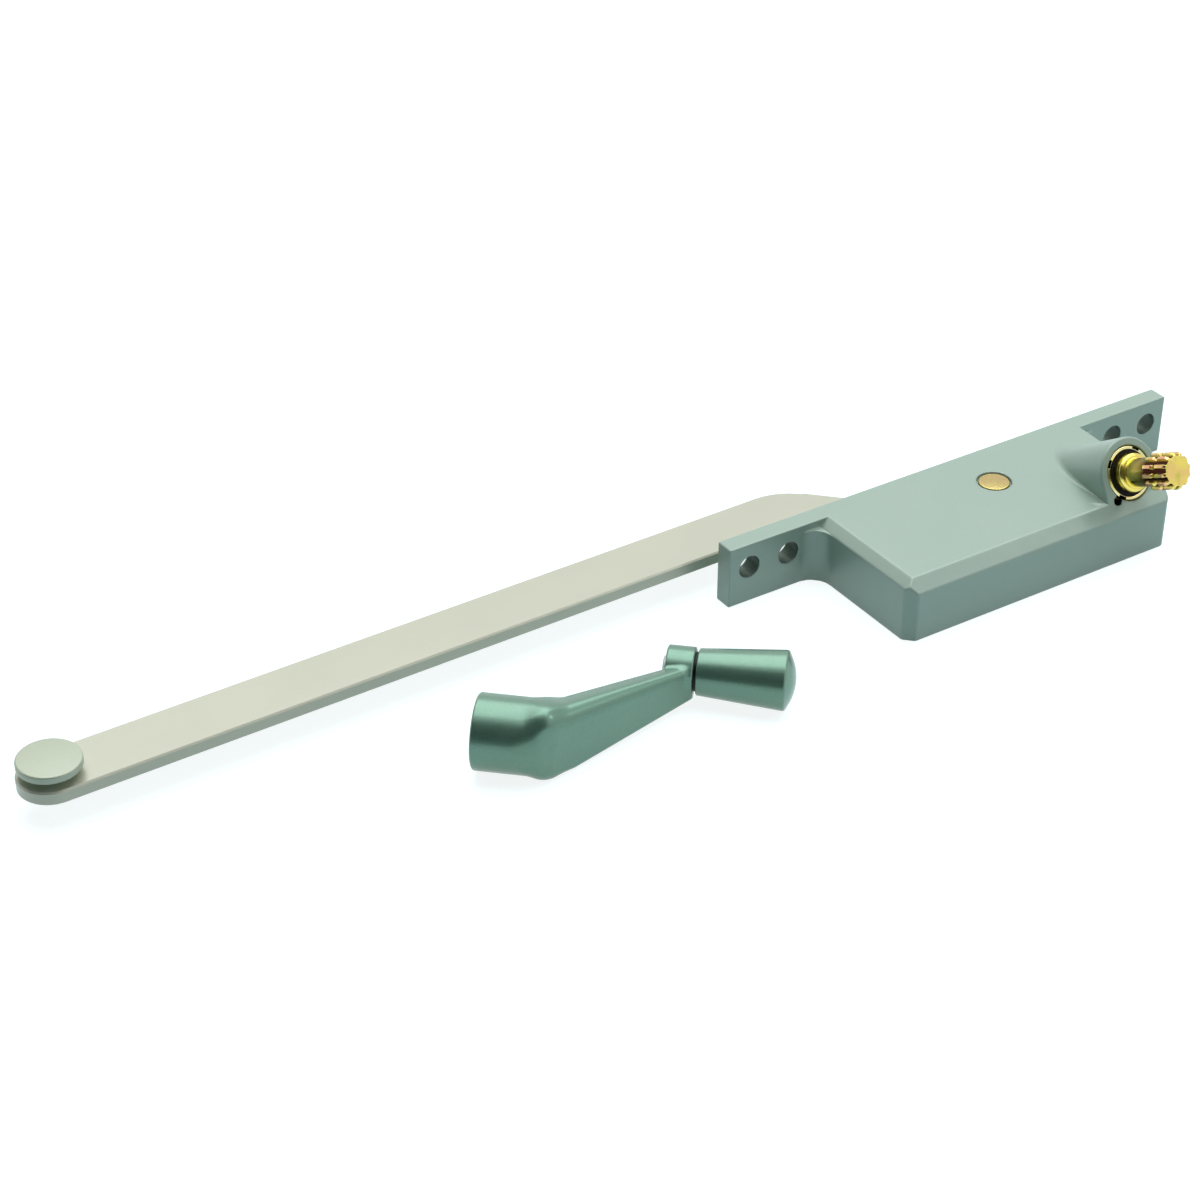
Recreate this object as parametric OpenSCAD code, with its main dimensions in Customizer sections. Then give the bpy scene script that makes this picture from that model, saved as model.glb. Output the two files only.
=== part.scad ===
// Crank-operated casement window operator with a single dog-leg arm.
// The operator lies closed, with its loose crank handle beside it on the same surface.
// Origin: middle of the mounting screw line on the back face of the flange.
// +X runs along the flange, +Y points outdoors, +Z points up. Millimetres.

/* [Flange] */
// Length of the mounting flange
flange_l = 130.9; // [126:0.1:150]
// Thickness of the mounting flange
flange_t = 4.8; // [4:0.1:7]
// Height of the flange and of the body
body_h = 15.3; // [15:0.1:18]
// Height of the screw line above the underside
screw_h = 9.25; // [8.9:0.05:10]
// Distance of the outer screw holes from the ends of the flange
screw_end = 5.5; // [5:0.1:7]
// Distance between the two screw holes at one end
screw_pitch = 10.95; // [8:0.05:11]
// Diameter of a mounting screw hole
screw_hole_d = 5.5; // [3.5:0.1:5.6]

/* [Body] */
// Distance of the left side of the body from the origin
body_left = 40.45; // [40:0.05:41]
// Distance of the right side of the body from the origin
body_right = 38.15; // [37.6:0.05:40]
// Taper of the right side, from the flange to the front
side_draft = 1.7; // [0:0.1:2]
// Depth from the back face to the front face
body_d = 38.3; // [37.5:0.1:45]
// Chamfer along the front top edge
front_chamfer = 2.9; // [1:0.1:3.5]
// Width of the chamfer along the left top edge
side_chamfer_w = 2.6; // [1:0.1:3.5]
// Depth of the chamfer along the left top edge
side_chamfer_h = 1.9; // [1:0.1:2.5]
// Chamfer of the upright front left corner
corner_chamfer = 2.3; // [1:0.1:4]
// Radius of the upright front right corner
corner_r = 1.4; // [0.5:0.1:3]
// Radius of the fillets between the flange and the body
fillet_r = 5; // [3:0.1:6]
// Thickness of the side and front walls
wall_t = 3; // [2.4:0.1:3.4]
// Thickness of the wall behind the gear, at the back face
back_wall_t = 2.2; // [1.8:0.1:3]
// Thickness of the side wall beside the arm's window
window_wall = 1.8; // [1.5:0.1:2]
// Thickness of the roof over the gear
roof_t = 2.3; // [1.8:0.1:2.6]

/* [Base plate] */
// Thickness of the sheet steel base plate
plate_t = 1.2; // [1:0.1:1.3]
// Width of the rim of the casting around the base plate
plate_rim = 1.5; // [1.2:0.1:2]
// Corner radius of the base plate
plate_corner_r = 2; // [1:0.1:3]
// Distance of the base plate screws from the edges of the plate
screw_inset = 3.8; // [3.7:0.1:4.1]
// Diameter of a base plate screw
plate_screw_d = 2.6; // [2:0.1:2.8]
// Length of a base plate screw
plate_screw_l = 6.5; // [5:0.1:7]

/* [Pivot] */
// Distance of the pivot from the origin along the flange
pivot_x = 4.05; // [3:0.05:4.5]
// Distance of the pivot in front of the back face
pivot_y = 13.1; // [12.8:0.05:14]
// Diameter of the pivot pin
pin_d = 6; // [5:0.1:6.4]
// Diameter of the pin's head
pin_head_d = 7.3; // [7:0.1:7.8]
// Thickness of the pin's head
pin_head_t = 1; // [0.8:0.1:1.2]
// Diameter of the recess round the pin's head
pin_recess_d = 8.24; // [8:0.01:8.6]
// Outside diameter of the bush in the arm
bush_d = 8.6; // [8:0.1:9]
// Outside diameter of the spacer and of the thrust washer
washer_d = 11.6; // [11:0.1:12]
// Thickness of the upper thrust washer
washer_t = 0.6; // [0.5:0.1:0.8]

/* [Arm] */
// Distance from the pivot to the guide button
arm_reach = 228.6; // [150:0.1:350]
// Width of the arm
arm_w = 14.4; // [13:0.1:15.5]
// Thickness of the arm
arm_t = 3.175; // [2.5:0.005:3.4]
// Height of the arm above the underside of the body
arm_h = 5.9; // [5.6:0.05:6.1]
// Distance of the pivot from the centre line of the straight bar
arm_offset = 25.5; // [25:0.1:28]
// Angle of the closed arm to the flange
arm_rest = 0.7; // [0:0.1:1]
// Slope of the dog-leg against the bar
leg_angle = 45.5; // [42:0.1:48]
// Distance by which the outer edge of the dog-leg misses the pivot
leg_miss = 4.7; // [4:0.1:5.5]
// Inner radius of the bend
bend_in_r = 0.6; // [0.5:0.1:6]
// Radius of the arm's round root about the pivot
root_r = 11; // [10:0.1:11.5]
// Radius of the hollow between the dog-leg and the round root
hollow_r = 8; // [6:0.1:9]
// Chamfer along the edges of the arm
arm_chamfer = 0.35; // [0.1:0.05:0.5]
// Opening travel of the arm in degrees
arm_travel = 90; // [60:1:90]

/* [Guide button] */
// Diameter of the button
button_d = 13.8; // [12:0.1:16]
// Thickness of the button
button_t = 1.8; // [1.2:0.1:2.4]
// Gap between the arm and the button, where the sash track runs
button_gap = 1.84; // [1.5:0.01:2.5]
// Diameter of the button's neck
button_neck_d = 8; // [6:0.1:9]
// Diameter of the button's rivet shank
button_shank_d = 5; // [4:0.1:5.5]

/* [Worm and gear] */
// Distance between the axis of the worm and the pivot
worm_centre = 23.5; // [23.4:0.05:23.8]
// Pitch diameter of the worm
worm_pitch_d = 10.2; // [9.8:0.1:10.4]
// Number of teeth the gear would have all round
gear_teeth = 36; // [32:1:40]
// Thickness of the gear sector
gear_t = 4.5; // [4.2:0.1:4.8]
// Play between the worm's thread and the teeth, along the pitch line
tooth_play = 0.3; // [0.25:0.01:0.4]
// Pressure angle of the teeth
pressure = 20; // [17:1:22]
// Angle of the crank's axis above the horizontal
crank_tilt = 28.3; // [27:0.1:29]

/* [Crank shaft] */
// Distance of the middle of the boss's mouth behind the front face
mouth_back = 5.3; // [3:0.05:5.5]
// Outside diameter of the boss at its mouth
boss_d = 16.9; // [16.4:0.1:17.2]
// Draft of the boss, which narrows towards its inner end
boss_draft = 5; // [0:0.1:6]
// Diameter of the bore in the boss
boss_bore_d = 13; // [12.8:0.1:13.2]
// Diameter of the shaft's journal
journal_d = 9.12; // [8.6:0.01:9.3]
// Length of the journal that stands out of the boss
journal_out = 2.3; // [1.5:0.1:3]
// Diameter of the shaft's neck
neck_d = 6.7; // [5.5:0.1:6.8]
// Length of the shaft's neck
neck_l = 6.6; // [4:0.1:8]
// Outside diameter of the spline
spline_d = 8.7; // [8.2:0.1:8.8]
// Diameter at the bottom of the spline's teeth
spline_root_d = 6.9; // [6.8:0.1:7.3]
// Number of teeth on the spline
spline_teeth = 12; // [8:1:16]
// Length of the spline
spline_l = 7.7; // [6:0.1:9]
// Width of the groove across the spline
spline_groove_w = 1; // [0.6:0.1:1.5]
// Length of the spline's inner band
spline_band_l = 3.1; // [2:0.1:3.5]
// Diameter of the tail journal
tail_d = 4.6; // [4:0.1:4.8]
// Distance from the gear to the end of the tail journal
tail_s = 10.3; // [9.5:0.1:10.5]
// Outside diameter of the notched retaining collar
collar_d = 12.9; // [12.7:0.01:13.1]
// Bore of the retaining collar
collar_bore_d = 10.9; // [10.8:0.1:11.2]
// Thickness of the retaining collar
collar_t = 2; // [1.5:0.1:3]
// Width of a notch in the collar
notch_w = 1.9; // [1:0.1:2.5]
// Diameter of the stake hole in the boss's face
stake_hole_d = 2.2; // [1.5:0.1:2.4]
// Depth of the stake hole
stake_depth = 5; // [1:0.1:6]

/* [Handle] */
// Place of the handle's mouth along the flange
handle_x = -143.25; // [-160:0.05:-130]
// Place of the handle's mouth in front of the back face
handle_y = 23.9; // [20:0.1:60]
// Turn of the handle on the surface
handle_turn = -42.7; // [-60:0.1:-30]
// Outside diameter of the socket
socket_d = 16.4; // [15:0.1:18]
// Straight length of the socket
socket_l = 11; // [10:0.1:14]
// Depth of the splined hole
socket_depth = 11; // [9:0.1:12]
// Distance from the mouth to the knob, along the crank's axis
handle_rise = 42; // [38:0.1:50]
// Distance between the crank's axis and the knob's axis
handle_throw = 31.3; // [28:0.1:45]
// Diameter of the hub that carries the knob
hub_d = 10.6; // [9:0.1:11]
// Length of the hub
hub_l = 6.2; // [5:0.1:9]
// Thickness of the lever at the socket
lever_t = 9; // [7:0.1:10]
// Height of the lever at the socket
lever_h = 14.6; // [12:0.1:16]
// Radius of the lever's edges at the socket
lever_edge_r = 2.6; // [2:0.1:3.5]
// Distance of the lever's start past the straight length of the socket
lever_set_out = 2.4; // [1:0.1:4]
// Distance of the lever's start from the socket's axis
lever_set_back = 1.3; // [0:0.1:3]
// Thickness of the lever at the hub
lever_end_t = 4.6; // [4:0.1:6]
// Height of the lever at the hub
lever_end_h = 8.6; // [7:0.1:10]
// Radius of the lever's edges at the hub
lever_end_edge_r = 1.9; // [1.5:0.1:2]
// Diameter of the knob beside the hub
knob_d = 10.24; // [9.5:0.01:12]
// Diameter of the knob at its outer end
knob_end_d = 13.3; // [12:0.1:16]
// Length of the knob without its dome
knob_l = 19.5; // [15:0.1:25]
// Height of the knob's dome
knob_dome = 1.7; // [1:0.1:3]
// Gap between the hub and the knob
knob_gap = 0.6; // [0.5:0.1:1]
// Diameter of the knob's axle
axle_d = 4; // [3:0.1:4.5]
// Diameter of the set screw
set_screw_d = 4; // [3:0.1:5]

/* [Clearances] */
// Radial running clearance of a shaft or pin in its hole
run_fit = 0.05; // [0.03:0.01:0.08]
// Radial clearance between fixed pieces
seat_fit = 0.03; // [0.02:0.01:0.05]
// Clearance between moving faces
face_gap = 0.1; // [0.05:0.01:0.2]
// Room round the gear sector and the arm
swing_room = 0.8; // [0.5:0.1:1]

/* [Hidden] */

paint = "#93aea3";
arm_paint = "#c3c2b3";
zinc = "#d9c67a";
steel = "#b9bcbd";
bronze = "#b08d57";
black = "#232425";
handle_paint = "#6fa094";

// Roundness of the true curves, of the blended ones and of the handle's lever
fine = 96;
blend = 28;
lever_round = 30;
elbow_round = 48;
// Overlap of a cut past the face it starts from
cut = 1;
// Lap of two surfaces that would otherwise only touch
lap = 0.01;
// Broken edges of the turned pieces
edge = 0.4;
small_edge = 0.3;

// Screw holes of the flange
outer_screws = flange_l - 2 * screw_end;
inner_screws = outer_screws - 2 * screw_pitch;

// Heights, from the screw line
base_z = -screw_h;
top_z = body_h - screw_h;
plate_z = base_z + plate_t;
roof_z = top_z - roof_t;
arm_z = base_z + arm_h;
arm_top = arm_z + arm_t;
gear_top = arm_z + gear_t;

// Gear geometry: a helical sector driven by a worm whose axis is tilted
gear_r = worm_centre - worm_pitch_d / 2;
worm_r = worm_pitch_d / 2;
tooth_angle = 360 / gear_teeth;
pitch_t = 2 * PI * gear_r / gear_teeth;
lead_ratio = gear_r / (gear_teeth * worm_r);
lead_angle = atan(lead_ratio * cos(crank_tilt) / (1 + lead_ratio * sin(crank_tilt)));
gear_helix = crank_tilt + lead_angle;
pitch_n = pitch_t * cos(gear_helix);
worm_lead = pitch_n / cos(lead_angle);
addendum = 0.9 * pitch_n / PI;
dedendum = 1.1 * pitch_n / PI;
gear_tip_r = gear_r + addendum;
gear_root_r = gear_r - dedendum;
worm_tip_r = worm_r + addendum;
worm_root_r = worm_r - dedendum;
pressure_t = atan(tan(pressure) / cos(gear_helix));
gear_base_r = gear_r * cos(pressure_t);
twist_rate = tan(gear_helix) / gear_r * 180 / PI;
// Teeth past each end of the travel that stay in the worm
spare_teeth = 2;
sector_teeth = ceil(arm_travel / tooth_angle) + 2 * spare_teeth;
sector_from = -(spare_teeth - 0.5) * tooth_angle;
sector_to = sector_from + (sector_teeth - 1) * tooth_angle;
// Web of the sector: it passes under the roots of the teeth and past both end teeth
rim_in_r = gear_root_r - 2;
web_out_r = rim_in_r + 0.8;
web_in_r = root_r + face_gap;
web_spare_angle = 4;
web_from = sector_from + twist_rate * arm_z - web_spare_angle;
web_to = sector_to + twist_rate * gear_top + web_spare_angle;
web_sides = 34;
hub_web_r = root_r + 2.5;

// Stations of the crank shaft along its axis, from the gear
mouth_s = (body_d - mouth_back - pivot_y) / cos(crank_tilt);
worm_from = -5.4;
worm_to = 6.3;
worm_runout = 1;
thrust_from = worm_to + worm_runout;
thrust_to = thrust_from + 1.5;
thrust_r = boss_bore_d / 2 - 0.4;
bush_from = thrust_to + face_gap;
shaft_washer_t = 0.6;
collar_top = mouth_s - 0.25;
collar_from = collar_top - collar_t;
seal_top = collar_top + 0.1;
journal_to = mouth_s + journal_out;
journal_lip = 0.9;
spline_from = journal_to + neck_l;
spline_to = spline_from + spline_l;
// Half widths of a spline tooth at its tip and at its root, in teeth
spline_tip_half = 0.16;
spline_root_half = 0.32;
// Inner end of the boss, inside the body, and the broken edge round its mouth
boss_from = -6;
boss_edge = 0.5;
boss_round = 64;
// Room past the ends of the worm and of the tail in the casting
worm_end_room = 0.6;
tail_end_room = 0.3;
// Turn of the collar's notches and of the stake hole about the crank's axis
notch_turn = 55;
stake_turn = 225.5;

// Base plate screws: countersunk heads, and posts in the casting that merge with its walls
post_r = plate_screw_d / 2 + 2.1;
plate_head_r = 0.95 * plate_screw_d;
plate_head_t = 0.8 * plate_t;
plate_hole_room = 0.15;
pilot_room = 0.5;
screw_point = 0.8;
cross_l = 1.1 * plate_head_r;
cross_w = 0.5;
cross_deep = 0.7;
// Wall between the tail journal and the screw beside it
tail_wall = 1;
plate_screws = [
    [-body_left + plate_rim + screw_inset, -body_d + plate_rim + screw_inset],
    [-body_left + plate_rim + screw_inset, -back_wall_t - post_r - 2 * cut],
    [body_right - side_draft - plate_rim - screw_inset, -body_d + plate_rim + screw_inset],
    [pivot_x + worm_centre + (tail_d + plate_screw_d) / 2 + tail_wall, -plate_rim - screw_inset]
];

// Depth of the pivot pin's head and tail below the faces around them
pin_sunk = 0.1;

// Rivets that hold the gear sector to the arm
rivet_r = 1.4;
rivet_head_r = rivet_r + 0.8;
rivet_head_t = 0.9;
rivet_margin = 0.3;
rivet_ring_r = root_r - rivet_head_r - rivet_margin;

// Outer radius of the bend, and the corner of the outer edges of the bar and of the dog-leg
bend_r = bend_in_r + arm_w;
bar_edge_y = arm_offset + arm_w / 2;
knee_x = (-leg_miss - bar_edge_y * cos(leg_angle)) / sin(leg_angle);
bend_x = knee_x - bend_r * tan(leg_angle / 2);
button_x = -sqrt(arm_reach * arm_reach - arm_offset * arm_offset);
// Degrees by which the bend laps into the dog-leg
bend_lap = 1;

// Foot of the guide button under the arm
button_foot_r = button_shank_d / 2 + 1.4;
button_foot_t = 0.8;

// Places in the handle's own frame
socket_r = socket_d / 2;
hub_z = knob_end_d / 2 + 0.05;
lever_from = [socket_l + lever_set_out, -lever_set_back];
lever_to = [handle_rise - knob_gap - lever_end_t / 2, handle_throw - (hub_d - lever_end_t) / 2];
lever_end_z = hub_z - hub_d / 2;
spline_room = 0.15;
entry_room = 0.25;
entry_l = 3;
set_screw_at = socket_l / 2 + 0.5;
set_screw_from = spline_d / 2 + 0.4;
set_screw_to = socket_r - 0.3;
hexagon_deep = 1.6;

// The knob turns on a riveted axle and is held on it by a split ring
axle_in = 14;
axle_head_r = axle_d / 2 + 1;
axle_head_t = 0.7;
clip_w = 0.8;
clip_from = axle_in - 2.4;
clip_to = clip_from + clip_w;
clip_deep = 0.5;
knob_bore_room = 0.5;
knob_edge = 0.6;
// Flat ring between the knob's broken edge and its dome
knob_flat = 0.15;

// Frames that the pieces are drawn in
module at_pivot() {
    translate([pivot_x, -pivot_y, 0]) children();
}

module in_arm() {
    at_pivot() rotate([0, 0, arm_rest]) children();
}

module on_crank() {
    translate([pivot_x + worm_centre, -pivot_y, 0]) rotate([90 - crank_tilt, 0, 0]) children();
}

module on_handle() {
    translate([handle_x, -handle_y, base_z]) rotate([0, 0, handle_turn]) children();
}

// A tube along Z from one height to another
module tube(outer_r, inner_r, from, to) {
    translate([0, 0, from])
        difference() {
            cylinder(r = outer_r, h = to - from, $fn = fine);
            translate([0, 0, -cut]) cylinder(r = inner_r, h = to - from + 2 * cut, $fn = fine);
        }
}

// A rod along Z from one height to another
module rod(r, from, to) {
    translate([0, 0, from]) cylinder(r = r, h = to - from, $fn = fine);
}

// A wedge for cutting a chamfer along X, with its edge on the X axis
module chamfer_cut(length, across, down) {
    rotate([90, 0, 90])
        linear_extrude(height = length)
            polygon([
                [-cut, cut],
                [-cut, -down - cut * down / across],
                [across + cut * across / down, cut]
            ]);
}

// A solid of revolution from [radius, height] points that start on the axis
module turned(points) {
    rotate_extrude($fn = fine) polygon(points);
}

// A point at radius r and angle a
function polar(r, a) = r * [cos(a), sin(a)];

// HOUSING

module flange_bar() {
    translate([-flange_l / 2, -flange_t, base_z]) cube([flange_l, flange_t, body_h]);
}

// Plan of the body: the left side is square, the right side has draft
module body_plan() {
    front_right = body_right - side_draft;
    polygon([
        [-body_left, 0],
        [-body_left, -body_d + corner_chamfer],
        [-body_left + corner_chamfer, -body_d],
        [front_right - corner_r, -body_d],
        [front_right, -body_d + corner_r],
        [body_right, 0]
    ]);
    translate([front_right - corner_r, -body_d + corner_r]) circle(r = corner_r, $fn = fine);
}

module body_block() {
    difference() {
        translate([0, 0, base_z]) linear_extrude(height = body_h) body_plan();
        translate([-body_left - cut, -body_d, top_z])
            chamfer_cut(body_left + body_right + 2 * cut, front_chamfer, front_chamfer);
        translate([-body_left, -flange_t, top_z])
            rotate([0, 0, -90])
                chamfer_cut(body_d, side_chamfer_w, side_chamfer_h);
    }
}

// The hollow corner where the flange meets a side of the body
module flange_fillet() {
    translate([0, 0, base_z])
        linear_extrude(height = body_h - side_chamfer_h)
            difference() {
                translate([-fillet_r, -fillet_r]) square(fillet_r + cut);
                translate([-fillet_r, -fillet_r]) circle(r = fillet_r, $fn = fine);
            }
}

// The drafted boss that the crank shaft stands in: round above its axis, with flat
// sides that run down from there into the roof
module crank_boss() {
    mouth_r = boss_d / 2;
    start_r = mouth_r - (mouth_s - boss_from) * tan(boss_draft);
    intersection() {
        hull()
            for (down = [0, boss_d])
                on_crank()
                    translate([0, -down, 0])
                        rotate_extrude($fn = boss_round)
                            polygon([
                                [0, boss_from],
                                [start_r, boss_from],
                                [mouth_r, mouth_s - boss_edge],
                                [mouth_r - boss_edge - cut, mouth_s + cut],
                                [0, mouth_s + cut]
                            ]);
        on_crank() rod(2 * boss_d, 2 * boss_from, mouth_s);
        translate([0, -body_d, roof_z]) cube([body_right, body_d, body_h + boss_d]);
    }
}

// Room for the gear sector, the arm's root and the worm
module gear_room() {
    back = -back_wall_t;
    front = -body_d + wall_t;
    left = -body_left + wall_t;
    height = roof_z - base_z + cut;
    difference() {
        translate([0, 0, base_z - cut])
            union() {
                intersection() {
                    at_pivot() cylinder(r = gear_tip_r + swing_room, h = height, $fn = fine);
                    translate([-body_left, front, 0]) cube([body_left + body_right, back - front, height]);
                }
                translate([left, front, 0]) cube([pivot_x - left, back - front, height]);
            }
        for (p = plate_screws)
            translate([p[0], p[1], base_z - 2 * cut]) cylinder(r = post_r, h = body_h, $fn = fine);
        at_pivot() rod(washer_d / 2, gear_top + washer_t + 2 * face_gap, top_z);
    }
}

// The window in the back face that the arm swings in
module arm_window() {
    reach = gear_tip_r + swing_room;
    depth = pivot_y - back_wall_t;
    right = pivot_x + sqrt(reach * reach - depth * depth);
    left = -body_left + window_wall;
    low = arm_z - swing_room / 2;
    high = gear_top + swing_room / 2;
    translate([left, -back_wall_t - cut, low])
        cube([right - left, back_wall_t + 2 * cut, high - low]);
}

module plate_plan(inset) {
    left = -body_left + plate_rim + inset;
    right = body_right - side_draft - plate_rim - inset;
    front = -body_d + plate_rim + inset;
    back = -plate_rim - inset;
    r = plate_corner_r;
    hull()
        for (x = [left + r, right - r], y = [front + r, back - r])
            translate([x, y]) circle(r = r, $fn = blend);
}

module mounting_holes() {
    for (x = [-outer_screws, -inner_screws, inner_screws, outer_screws] / 2)
        translate([x, 0, 0])
            rotate([90, 0, 0]) rod(screw_hole_d / 2, -cut, flange_t + cut);
}

module housing() {
    color(paint)
    difference() {
        union() {
            flange_bar();
            body_block();
            translate([-body_left, -flange_t, 0]) flange_fillet();
            translate([body_right - side_draft * (flange_t + fillet_r) / body_d, -flange_t, 0])
                mirror([1, 0, 0]) flange_fillet();
            crank_boss();
        }
        gear_room();
        arm_window();
        // rebate for the base plate
        translate([0, 0, base_z - cut]) linear_extrude(height = plate_t + cut) plate_plan(0);
        mounting_holes();
        // pivot pin and the recess round its head
        at_pivot() rod(pin_d / 2 + seat_fit, base_z, top_z + cut);
        at_pivot() rod(pin_recess_d / 2, top_z - pin_head_t, top_z + cut);
        // pilot holes of the base plate screws
        for (p = plate_screws)
            translate([p[0], p[1], base_z])
                rod(plate_screw_d / 2 + seat_fit, 0, plate_screw_l + pilot_room);
        on_crank() {
            rod(boss_bore_d / 2, worm_from - worm_end_room, mouth_s + boss_bore_d / 2);
            rod(tail_d / 2 + run_fit, -tail_s - tail_end_room, 0);
            rotate([0, 0, stake_turn])
                translate([(boss_d + boss_bore_d) / 4, 0, 0])
                    rod(stake_hole_d / 2, mouth_s - stake_depth, mouth_s + 4 * cut);
        }
    }
}

// BASE PLATE AND ITS SCREWS

module base_plate() {
    wide = cut * (plate_head_r - plate_screw_d / 2) / plate_head_t;
    color(steel)
    difference() {
        translate([0, 0, base_z]) linear_extrude(height = plate_t) plate_plan(face_gap);
        at_pivot() rod(pin_d / 2 + seat_fit, base_z - cut, plate_z + cut);
        for (p = plate_screws)
            translate([p[0], p[1], base_z]) {
                rod(plate_screw_d / 2 + plate_hole_room, -cut, plate_t + cut);
                turned([
                    [0, -cut],
                    [plate_head_r + seat_fit + wide, -cut],
                    [plate_screw_d / 2 + seat_fit, plate_head_t],
                    [0, plate_head_t]
                ]);
            }
    }
}

// Countersunk screws with a cross recess, heads level with the underside
module base_plate_screws() {
    shank_r = plate_screw_d / 2;
    color(zinc)
    for (p = plate_screws)
        translate([p[0], p[1], base_z])
            difference() {
                turned([
                    [0, 0],
                    [plate_head_r, 0],
                    [shank_r, plate_head_t],
                    [shank_r, plate_screw_l - screw_point],
                    [shank_r / 2, plate_screw_l],
                    [0, plate_screw_l]
                ]);
                for (a = [0, 90])
                    rotate([0, 0, a])
                        translate([-cross_l / 2, -cross_w / 2, -cut])
                            cube([cross_l, cross_w, cut + cross_deep]);
            }
}

// PIVOT

// Turned head in the roof, tail riveted into the base plate
module pivot_pin() {
    head_r = pin_head_d / 2;
    r = pin_d / 2;
    tail_z = base_z + pin_sunk;
    head_z = top_z - pin_sunk;
    color(zinc)
    at_pivot()
        turned([
            [0, tail_z],
            [r - edge, tail_z],
            [r, tail_z + edge],
            [r, top_z - pin_head_t],
            [head_r, top_z - pin_head_t],
            [head_r, head_z - small_edge],
            [head_r - small_edge, head_z],
            [0, head_z]
        ]);
}

module pivot_spacer() {
    color(steel)
    at_pivot() tube(washer_d / 2, pin_d / 2 + seat_fit, plate_z, arm_z - face_gap);
}

module pivot_washer() {
    color(black)
    at_pivot()
        translate([0, 0, gear_top + face_gap])
            tube(washer_d / 2, pin_d / 2 + seat_fit, 0, washer_t);
}

module pivot_bush() {
    color(bronze)
    at_pivot() tube(bush_d / 2, pin_d / 2 + run_fit, arm_z, gear_top);
}

// ARM

// Cross-section of the bar, chamfered along both top edges and both bottom edges
module bar_section(from, to) {
    c = arm_chamfer;
    polygon([
        [from + c, 0],
        [to - c, 0],
        [to, c],
        [to, arm_t - c],
        [to - c, arm_t],
        [from + c, arm_t],
        [from, arm_t - c],
        [from, c]
    ]);
}

// Plan of the dog-leg: from the bend to the round root about the pivot
module leg_plan() {
    along = [cos(leg_angle), -sin(leg_angle)];
    out = [sin(leg_angle), cos(leg_angle)];
    bend_c = [bend_x, bar_edge_y - bend_r];
    bend_end = bend_c + bend_r * out;
    inner = bend_c + (bend_r - arm_w) * out;
    // hollow that joins the dog-leg's outer edge to the round root
    hollow_n = hollow_r - leg_miss;
    hollow_a = -sqrt(pow(root_r + hollow_r, 2) - pow(hollow_n, 2));
    hollow = hollow_n * out + hollow_a * along;
    edge_end = hollow - hollow_r * out;
    root_end = hollow * root_r / (root_r + hollow_r);
    // tangent from the inner corner to the round root
    inner_d = norm(inner);
    tangent_a = atan2(inner[1], inner[0]) + acos(root_r / inner_d);
    tangent = polar(root_r, tangent_a);
    circle(r = root_r, $fn = fine);
    difference() {
        polygon([bend_end, edge_end, hollow, root_end, [0, 0], tangent, inner]);
        translate(hollow) circle(r = hollow_r, $fn = fine);
    }
}

module arm_bar() {
    color(arm_paint)
    in_arm()
        difference() {
            union() {
                // straight bar
                translate([button_x, arm_offset, arm_z])
                    rotate([90, 0, 90])
                        linear_extrude(height = bend_x - button_x) bar_section(-arm_w / 2, arm_w / 2);
                // round end under the button
                translate([button_x, arm_offset, arm_z])
                    rotate_extrude($fn = fine)
                        intersection() {
                            bar_section(-arm_w / 2, arm_w / 2);
                            square([arm_w, arm_t]);
                        }
                // bend
                translate([bend_x, bar_edge_y - bend_r, arm_z])
                    rotate([0, 0, 90 - leg_angle - bend_lap])
                        rotate_extrude(angle = leg_angle + bend_lap, $fn = fine)
                            bar_section(bend_r - arm_w, bend_r);
                translate([0, 0, arm_z]) linear_extrude(height = arm_t) leg_plan();
            }
            rod(bush_d / 2 + seat_fit, arm_z - cut, arm_top + cut);
            rivet_places() rod(rivet_r + seat_fit, arm_z - cut, arm_top + cut);
            translate([button_x, arm_offset, 0])
                rod(button_shank_d / 2 + seat_fit, arm_z - cut, arm_top + cut);
        }
}

module rivet_places() {
    for (a = [60, 180, 300])
        rotate([0, 0, a]) translate([rivet_ring_r, 0, 0]) children();
}

module sector_rivets() {
    low = arm_z - rivet_head_t;
    high = gear_top + rivet_head_t;
    flat_r = 0.6 * rivet_head_r;
    side = 0.4 * rivet_head_t;
    color(steel)
    in_arm()
        rivet_places()
            turned([
                [0, low],
                [flat_r, low],
                [rivet_head_r, arm_z - side],
                [rivet_head_r, arm_z],
                [rivet_r, arm_z],
                [rivet_r, gear_top],
                [rivet_head_r, gear_top],
                [rivet_head_r, gear_top + side],
                [flat_r, high],
                [0, high]
            ]);
}

// GEAR SECTOR

function involute(a) = tan(a) * 180 / PI - a;

// Half the angle that a tooth fills at radius r
function tooth_half(r) =
    let(fill = (pitch_t / 2 - tooth_play / 2) / gear_r / 2 * 180 / PI)
    let(at_r = acos(min(1, gear_base_r / r)))
    fill + involute(pressure_t) - involute(at_r);

// Outline of the toothed rim, closed along the inner side of the web
module toothed_rim() {
    steps = 3;
    radii = [for (i = [0:steps]) gear_root_r + (gear_tip_r - gear_root_r) * i / steps];
    middles = [for (k = [0:sector_teeth - 1]) sector_from + k * tooth_angle];
    outer = [for (m = middles)
        each concat(
            [for (i = [0:steps]) polar(radii[i], m - tooth_half(radii[i]))],
            [for (i = [steps:-1:0]) polar(radii[i], m + tooth_half(radii[i]))])];
    inner = [for (k = [sector_teeth - 1:-1:0]) polar(rim_in_r, middles[k])];
    polygon(concat(outer, inner));
}

// Plan of the web that carries the rim, round the arm's root
module web_plan() {
    turns = [for (i = [0:web_sides]) web_from + (web_to - web_from) * i / web_sides];
    outer = [for (a = turns) polar(web_out_r, a)];
    inner = [for (i = [web_sides:-1:0]) polar(web_in_r, turns[i])];
    polygon(concat(outer, inner));
}

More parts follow.
